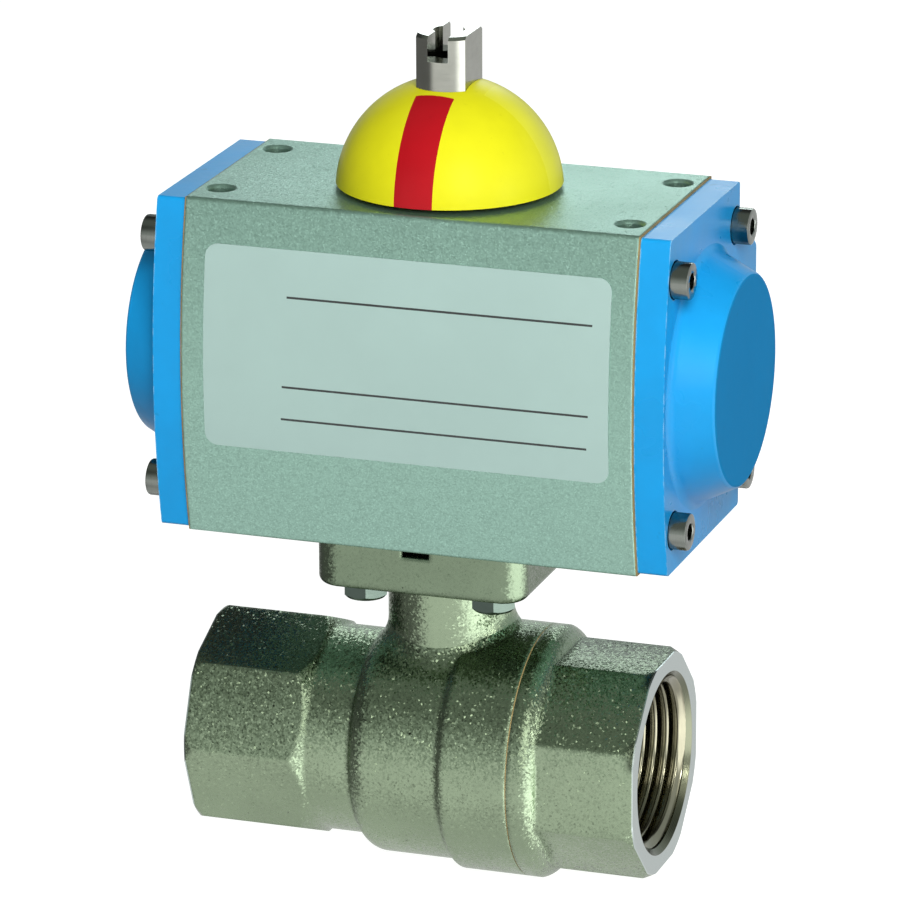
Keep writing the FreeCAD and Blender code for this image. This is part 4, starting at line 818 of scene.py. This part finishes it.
@dataclass
class CapScrews:
    """Four socket head cap screws of one end cap, with knurled heads."""

    side: str
    seat: float
    head_radius: float = 3.5 * MM
    head_height: float = 4.0 * MM
    shank_radius: float = 1.95 * MM
    length: float = 16.0 * MM
    key_flats: float = 3.0 * MM
    key_depth: float = 2.0 * MM
    ridges: int = 36
    ridge_depth: float = 0.11 * MM
    mouth_chamfer: float = 0.12 * MM
    cone_depth: float = 0.5 * MM
    first_turn: float = 0.35
    next_turn: float = 0.8

    def head_outline(self) -> list[tuple[float, float]]:
        """The screw's outline, from the rim of the socket down to the shank's point."""
        top, rim, edge = self.head_height, self.head_radius, self.head_radius - 0.02 * MM
        socket = hexagon_corner(self.key_flats) + self.mouth_chamfer
        shank, foot = self.shank_radius, -self.length
        return [
            (socket, top), (rim - 0.42 * MM, top), (rim - 0.12 * MM, top - 0.10 * MM),
            (edge, top - 0.34 * MM), (edge, 0.9 * MM), (edge, 0.45 * MM), (rim - 0.14 * MM, 0.0),
            (shank, 0.0), (shank, foot + 0.4 * MM), (shank - 0.4 * MM, foot), (0.0, foot),
        ]

    def one_screw(self) -> Mesh:
        """Builds one screw along Z with its seat at height 0.

        Returns:
            The screw's mesh.
        """
        bm = bmesh.new()
        steps = self.ridges * 2
        turn_profile(bm, self.head_outline(), steps)
        upper, lower = self.head_height - 0.33 * MM, 0.89 * MM
        for vert in bm.verts:
            reach = math.hypot(vert.co.x, vert.co.y)
            if lower <= vert.co.z <= upper + 0.01 * MM and reach > self.shank_radius * 1.2:
                number = round(math.atan2(vert.co.y, vert.co.x) / math.tau * steps)
                if number % 2:
                    vert.co.x *= 1 - self.ridge_depth / reach
                    vert.co.y *= 1 - self.ridge_depth / reach
        self.cut_socket(bm)
        return bm

    def cut_socket(self, bm: Mesh) -> None:
        """Closes the top with a hexagonal socket: a chamfered mouth, flat walls and a cone at the bottom.

        Args:
            bm: The screw's mesh, open round the socket's mouth.
        """
        top = self.head_height
        open_edges = [edge for edge in bm.edges if len(edge.link_faces) == 1]
        rim = [edge for edge in open_edges if edge.verts[0].co.z > top - 0.01 * MM]
        corner = hexagon_corner(self.key_flats)
        mouth = add_ring(bm, 6, corner, top - self.mouth_chamfer)[1]
        bottom = add_ring(bm, 6, corner, top - self.key_depth)[1]
        bmesh.ops.bridge_loops(bm, edges=rim + mouth)
        bmesh.ops.bridge_loops(bm, edges=mouth + bottom)
        floor = bmesh.ops.contextual_create(bm, geom=bottom)["faces"]
        cone = bmesh.ops.poke(bm, faces=floor)["verts"]
        bmesh.ops.translate(bm, verts=cone, vec=(0, 0, -self.cone_depth))

    def build(self, material: bpy.types.Material) -> bpy.types.Object:
        """Builds the four screws, each turned a little differently.

        Args:
            material: The screws' finish.

        Returns:
            The piece.
        """
        sign = -1 if self.side == "left" else 1
        node = f"cap_screws_{self.side}"
        low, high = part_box(node)
        middle_y, middle_z = (low.y + high.y) / 2, (low.z + high.z) / 2
        half_y, half_z = (high.y - low.y) / 2 - self.head_radius, (high.z - low.z) / 2 - self.head_radius
        poses = []
        for number, (across, tall) in enumerate(CORNERS):
            spot = Vector((sign * self.seat, middle_y + across * half_y, middle_z + tall * half_z))
            turn = Matrix.Rotation(self.first_turn + self.next_turn * number, 4, "Z")
            lay = Matrix.Rotation(sign * math.pi / 2, 4, "Y") @ turn
            poses.append(Matrix.Translation(spot) @ lay)
        bm = repeat(self.one_screw(), poses)
        made = finish_piece(f"{node}_detailed", bm, material, "housing", 0.5)
        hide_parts(node)
        return made


@dataclass
class FlangeBolts:
    """Four hex head bolts with chamfered heads and a washer face."""

    flats: float = 8.0 * MM
    head: float = 3.5 * MM
    shank_radius: float = 2.45 * MM
    length: float = 16.0 * MM
    washer_face: float = 0.25 * MM
    turn: float = math.radians(-11.0)
    segments: int = 36
    chamfer: float = 0.45 * MM
    chamfer_slope: float = 0.6

    def one_bolt(self) -> Mesh:
        """Builds one bolt that points up, with its seat at height 0.

        Returns:
            The bolt's mesh.
        """
        bm = bmesh.new()
        corner, shank, face = hexagon_corner(self.flats), self.shank_radius, self.flats / 2 - 0.1 * MM
        outline = [(0.0, self.length), (shank - 0.4 * MM, self.length), (shank, self.length - 0.4 * MM),
                   (shank, 0.0), (face, 0.0), (face, -self.washer_face)]
        turn_profile(bm, outline, self.segments)
        rim = [edge for edge in bm.edges if len(edge.link_faces) == 1]
        upper, upper_edges = add_ring(bm, self.segments, corner, -self.washer_face)
        lower, lower_edges = add_ring(bm, self.segments, corner, -self.head + self.chamfer)
        for vert in upper + lower:
            turn = math.atan2(vert.co.y, vert.co.x) % (math.pi / 3) - math.pi / 6
            vert.co.xy *= math.cos(math.pi / 6) / math.cos(turn)
        for vert in lower:
            over = math.hypot(vert.co.x, vert.co.y) - self.flats / 2
            vert.co.z += over * self.chamfer_slope
        crown = add_ring(bm, self.segments, self.flats / 2 - 0.25 * MM, -self.head)[1]
        bmesh.ops.bridge_loops(bm, edges=rim + upper_edges)
        bmesh.ops.bridge_loops(bm, edges=upper_edges + lower_edges)
        bmesh.ops.bridge_loops(bm, edges=lower_edges + crown)
        bmesh.ops.contextual_create(bm, geom=crown)
        return bm

    def build(self, material: bpy.types.Material) -> bpy.types.Object:
        """Builds the four bolts of the flange.

        Args:
            material: Their finish.

        Returns:
            The piece.
        """
        low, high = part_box("flange_bolts")
        corner = hexagon_corner(self.flats)
        angles = [self.turn + math.tau * number / 6 for number in range(6)]
        reach_x, reach_y = (max(corner * wave(angle) for angle in angles) for wave in (math.cos, math.sin))
        half_x, half_y = (high.x - low.x) / 2 - reach_x, (high.y - low.y) / 2 - reach_y
        turn = Matrix.Rotation(self.turn, 4, "Z")
        poses = [
            Matrix.Translation((across * half_x, along * half_y, low.z + self.head)) @ turn
            for across, along in CORNERS
        ]
        bm = repeat(self.one_bolt(), poses)
        made = finish_piece("flange_bolts_detailed", bm, material, "housing", 0.4)
        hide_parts("flange_bolts")
        return made


# ---------- Sub-assemblies ----------


@dataclass
class SubAssembly:
    """A named group of the frame's nodes with their finishes."""

    effects: SharedEffects
    nodes: dict[str, bpy.types.Object]

    def give(self, finish: Finish, *names: str) -> bpy.types.Material:
        """Builds a finish and gives it to nodes.

        Args:
            finish: The finish.
            names: The nodes' names.

        Returns:
            The material.
        """
        material = finish.build(self.effects)
        dress([self.nodes[name] for name in names], material)
        return material


@dataclass
class Housing(SubAssembly):
    """The extruded housing with its label and the threads of its open holes."""

    air_port_radius: float = 4.865 * MM
    air_port_pitch: float = 0.907 * MM
    air_port_length: float = 6.5 * MM
    air_port_height: float = -32.5 * MM
    air_port_offset: float = 12 * MM

    def build(self) -> None:
        """Dresses the housing and its label, and adds the air ports' threads."""
        self.give(AnodisedAluminium("anodised_housing", (0.295, 0.475, 0.40)), "housing_body")
        self.give(PrintedFilm("label_film", (0.375, 0.525, 0.505)), "label")
        self.give(DullSkin("gasket_fibre", (0.30, 0.22, 0.10), 0.7), "cap_gasket_left", "cap_gasket_right")
        turned = TurnedMetal("port_threads", (0.55, 0.62, 0.58), 0.25, Axis.Y).build(self.effects)
        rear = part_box("housing_body")[1].y
        for side, x in (("middle", -self.air_port_offset), ("ends", self.air_port_offset)):
            spot = Matrix.Translation((x, rear, self.air_port_height)) @ Matrix.Rotation(math.pi / 2, 4, "X")
            InnerThread(f"air_port_thread_{side}", self.air_port_radius, self.air_port_pitch,
                        self.air_port_length, spot, "housing", "anodised_housing", 48).build(turned)


@dataclass
class EndCaps(SubAssembly):
    """Both cast caps with their screws."""

    seat: float = 49.3 * MM

    def build(self) -> None:
        """Dresses the caps and builds their screws."""
        enamel = Enamel("cap_enamel", (0.009, 0.335, 0.78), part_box("end_cap_right")[1].x)
        self.give(enamel, "end_cap_left", "end_cap_right")
        steel = TurnedMetal("screw_steel", (0.25, 0.27, 0.245), 0.10, Axis.X).build(self.effects)
        for side in ("left", "right"):
            CapScrews(side, self.seat).build(steel)


@dataclass
class DriveTrain(SubAssembly):
    """The pinion with its indicator dome, seals and clip."""

    def build(self) -> None:
        """Dresses everything that turns with the pinion."""
        self.give(TurnedMetal("pinion_nickel", (0.41, 0.42, 0.37), 0.12, Axis.Z), "pinion")
        self.give(TurnedMetal("clip_steel", (0.10, 0.10, 0.11), 0.4, Axis.Z), "circlip")
        self.give(MouldedPlastic("dome_yellow", (0.74, 0.715, 0.010), 0.34, 0.25), "indicator_dome")
        self.give(MouldedPlastic("stripe_red", (0.43, 0.004, 0.010), 0.32, 0.25), "indicator_stripes_red")
        self.give(MouldedPlastic("stripe_pale", (0.77, 0.755, 0.03), 0.32, 0.3), "indicator_stripes_pale")
        slides = ("thrust_washer", "pinion_bush_upper", "pinion_bush_lower", "guide_band_left",
                  "guide_band_right", "rack_pad_left", "rack_pad_right")
        self.give(MouldedPlastic("slide_plastic", (0.74, 0.70, 0.60), 0.45), *slides)
        rings = ("pinion_seal_upper", "pinion_seal_lower", "piston_seal_left", "piston_seal_right",
                 "stem_o_rings")
        self.give(DullSkin("seal_rubber", (0.018, 0.018, 0.02), 0.5, 0.1), *rings)
        self.give(TurnedMetal("piston_metal", (0.50, 0.50, 0.50), 0.3, Axis.X), "piston_left", "piston_right")


@dataclass
class Valve(SubAssembly):
    """The ball valve: body, screwed-in end, ball, seats and stem."""

    axis_height: float = -110.0 * MM
    thread_radius: float = 16.62 * MM
    thread_pitch: float = 2.309 * MM
    thread_length: float = 17.5 * MM
    thread_start: float = 0.4 * MM

    def build(self) -> None:
        """Dresses the valve and cuts the ridges of its two pipe threads."""
        left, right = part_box("valve_body")[0].x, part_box("end_connector")[1].x
        nickel = BlastedNickel("valve_nickel", (0.272, 0.345, 0.232), left_end=left, right_end=right)
        self.give(nickel, "valve_body", "end_connector")
        self.give(DullSkin("joint_sealant", (0.36, 0.27, 0.12), 0.5), "connector_seal")
        self.give(TurnedMetal("ball_chrome", (0.72, 0.72, 0.72), 0.08, Axis.X), "ball")
        white = MouldedPlastic("seat_white", (0.84, 0.84, 0.80), 0.4)
        self.give(white, "seat_left", "seat_right", "stem_thrust_ring")
        self.give(TurnedMetal("stem_brass", (0.50, 0.44, 0.28), 0.22, Axis.Z), "stem")
        bright = TurnedMetal("thread_bright", (0.30, 0.29, 0.21), 0.07, Axis.X).build(self.effects)
        for side, end, sign in (("left", left, -1), ("right", right, 1)):
            spot = Matrix.Translation((end - sign * self.thread_start, 0, self.axis_height))
            lay = Matrix.Rotation(-sign * math.pi / 2, 4, "Y")
            InnerThread(f"pipe_thread_{side}", self.thread_radius, self.thread_pitch, self.thread_length,
                        spot @ lay, "housing", "valve_nickel", 96).build(bright)


def direction(turn: float, rise: float) -> Vector:
    """The direction of an azimuth and an elevation in degrees; 0 is in front and 90 at the right."""
    a, e = math.radians(turn), math.radians(rise)
    return Vector((math.sin(a) * math.cos(e), -math.cos(a) * math.cos(e), math.sin(e)))


@dataclass(frozen=True)
class Lamp:
    """A soft rectangular lamp that faces the object.

    The angles are in degrees, the lengths in metres and the power in watts.
    """

    name: str
    turn: float
    rise: float
    far: float
    size: tuple[float, float]
    power: float
    colour: Colour
    glossy: bool = True
    diffuse: bool = True
    target: Colour = (0.0, 0.0, -0.05)

    def build(self) -> None:
        """Adds the lamp to the scene."""
        data = bpy.data.lights.new(self.name, "AREA")
        data.shape = "RECTANGLE"
        data.size, data.size_y = self.size
        data.energy = self.power
        data.color = self.colour
        made = link_object(self.name, data)
        out = direction(self.turn, self.rise)
        made.location = Vector(self.target) + out * self.far
        made.rotation_euler = out.to_track_quat("Z", "Y").to_euler()
        made.visible_glossy, made.visible_diffuse = self.glossy, self.diffuse


@dataclass(frozen=True)
class Sector:
    """The directions round one azimuth, in degrees.

    The edge and the full reach are cosines of the angle from it.
    """

    turn: float
    edge: float
    full: float

    def mask(self, g: Graph, way: Feed) -> Socket:
        """Gives 1 for a direction inside the sector.

        Args:
            g: The graph to add to.
            way: A direction, of which only the azimuth counts.

        Returns:
            The mask.
        """
        level = g.vector("NORMALIZE", g.vector("MULTIPLY", way, (1.0, 1.0, 0.0)))
        inputs = {0: level, 1: tuple(direction(self.turn, 0.0))}
        dot = g.add("VectorMath", inputs, operation="DOT_PRODUCT").outputs["Value"]
        return g.band(dot, self.edge, self.full)


LAMPS = (
    Lamp("key", 28, 32, 0.9, (0.4, 0.4), 7.5, (1.0, 0.98, 0.94), glossy=False),
    Lamp("glint", 36, 24, 0.9, (0.36, 0.50), 1.5, (1.0, 0.98, 0.92), diffuse=False),
    Lamp("strip", 86, 6, 0.8, (0.14, 0.5), 0.22, (1.0, 0.97, 0.90)),
    Lamp("spark", 75, 8, 0.8, (0.08, 0.08), 0.4, (1.0, 0.97, 0.90), diffuse=False),
    Lamp("rear", 192, 26, 0.6, (0.24, 0.14), 0.36, (0.90, 1.0, 1.0)),
)


@dataclass
class Studio:
    """The camera, the floor, the room's light and the lamps."""

    azimuth: float = 19.067
    elevation: float = 17.655
    roll: float = -0.230
    distance: float = 1.15442
    focal: float = 247.22
    shift_right: float = -0.161 * MM
    shift_up: float = -49.387 * MM
    floor_radius: float = 6.0
    floor_colour: Colour = (0.42, 0.42, 0.42)
    backdrop: float = 0.92
    floor_glow: float = 1.2
    rear_glow_share: float = 0.6
    steep_glow: float = 0.9
    front_walls: tuple[float, float] = (0.0, 0.65)
    rear_walls: tuple[float, float] = (0.34, 0.60)
    front_low: Colour = (0.82, 0.86, 0.84)
    rear_low: Colour = (0.58, 0.63, 0.64)
    front_high: Colour = (0.26, 0.29, 0.26)
    rear_high: Colour = (0.05, 0.052, 0.052)
    dark_side: Sector = Sector(-85.0, 0.55, 0.80)
    dark_depth: float = 0.82
    bright_side: Sector = Sector(86.0, 0.62, 0.90)
    bright_glow: float = 2.3

    def camera(self) -> None:
        """Makes the camera at its place round the object."""
        turn, rise, roll = math.radians(self.azimuth), math.radians(self.elevation), math.radians(self.roll)
        back = direction(self.azimuth, self.elevation)
        right = Vector((math.cos(turn), math.sin(turn), 0))
        up = Vector((-math.sin(turn) * math.sin(rise), math.cos(turn) * math.sin(rise), math.cos(rise)))
        data = bpy.data.cameras.new("camera")
        data.lens, data.sensor_width = self.focal, 36.0
        data.clip_start, data.clip_end = 0.05, 50.0
        across = right * math.cos(roll) + up * math.sin(roll)
        above = up * math.cos(roll) - right * math.sin(roll)
        pose = Matrix((across, above, back)).transposed().to_4x4()
        pose.translation = back * self.distance + right * self.shift_right + up * self.shift_up
        made = link_object("camera", data)
        made.matrix_world = pose
        bpy.context.scene.camera = made

    def floor(self) -> None:
        """Makes a large pale floor under the valve that keeps the object's shadow."""
        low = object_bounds()[0].z
        bm = bmesh.new()
        bmesh.ops.create_circle(bm, cap_ends=True, segments=64, radius=self.floor_radius)
        bmesh.ops.translate(bm, verts=bm.verts, vec=(0, 0, low - 0.02 * MM))
        material = bpy.data.materials.new("floor_white")
        material.use_nodes = True
        g = Graph(material.node_tree)
        g.tree.nodes.clear()
        strength = g.math("MULTIPLY", g.add("LightPath").outputs["Is Camera Ray"], self.backdrop)
        plain = g.add("BsdfDiffuse", {"Color": self.floor_colour})
        light = g.add("Emission", {"Color": (1.0, 1.0, 1.0), "Strength": strength})
        both = g.add("AddShader", {0: plain.outputs[0], 1: light.outputs[0]})
        g.add("OutputMaterial", {"Surface": both.outputs[0]})
        made = mesh_object("floor", bm, material)
        made.visible_glossy = False
        made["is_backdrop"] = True

    def world(self) -> None:
        """Makes a soft room: a glowing floor, pale walls that dim overhead, and a dark left side."""
        world = bpy.data.worlds.new("room")
        bpy.context.scene.world = world
        world.use_nodes = True
        g = Graph(world.node_tree)
        g.tree.nodes.clear()
        way = g.add("TexCoord").outputs["Generated"]
        _, y, z = g.split(way)
        behind = g.band(y, 0.0, 0.6)
        start, end = (g.blend(behind, *pair) for pair in zip(self.front_walls, self.rear_walls))
        low_tone = g.mix(behind, self.front_low, self.rear_low)
        high_tone = g.mix(behind, self.front_high, self.rear_high)
        walls = g.mix(g.band(z, start, end), low_tone, high_tone)
        flat = g.vector("MULTIPLY", way, (1.0, 1.0, 0.0))
        length = g.add("VectorMath", {0: flat}, operation="LENGTH").outputs["Value"]
        shallow = g.band(length, 0.55, 0.90)
        shade = g.math("MULTIPLY", self.dark_side.mask(g, way), self.dark_depth)
        dim = g.blend(shallow, 1.0, g.math("SUBTRACT", 1.0, shade))
        flat_glow = g.blend(behind, self.floor_glow, self.rear_glow_share * self.floor_glow)
        glow = g.blend(shallow, self.steep_glow, flat_glow)
        extra = g.math("MULTIPLY", self.bright_side.mask(g, way), self.bright_glow)
        glow = g.math("ADD", glow, g.math("MULTIPLY", shallow, extra))
        tone = g.mix(g.band(z, 0.0, -0.12), walls, g.join(glow, glow, glow))
        g.add("OutputWorld", {"Surface": g.add("Background", {"Color": tone, "Strength": dim}).outputs[0]})

    def build(self) -> None:
        """Sets the stage."""
        self.camera()
        self.floor()
        self.world()
        for lamp in LAMPS:
            lamp.build()
        bpy.context.scene.view_settings.view_transform = "Standard"


def main() -> None:
    """Dresses the whole object and sets its stage."""
    logging.basicConfig(level=logging.INFO, format="%(name)s: %(message)s")
    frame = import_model()
    effects = SharedEffects()
    for kind in (Housing, EndCaps, DriveTrain, Valve):
        kind(effects, frame["nodes"]).build()
        LOG.info("%s built", kind.__name__)
    bolts = TurnedMetal("bolt_steel", (0.15, 0.20, 0.17), 0.26, Axis.Z).build(effects)
    FlangeBolts().build(bolts)
    LOG.info("FlangeBolts built")
    Studio().build()
    LOG.info("Studio built")


if __name__ == "__main__":
    main()
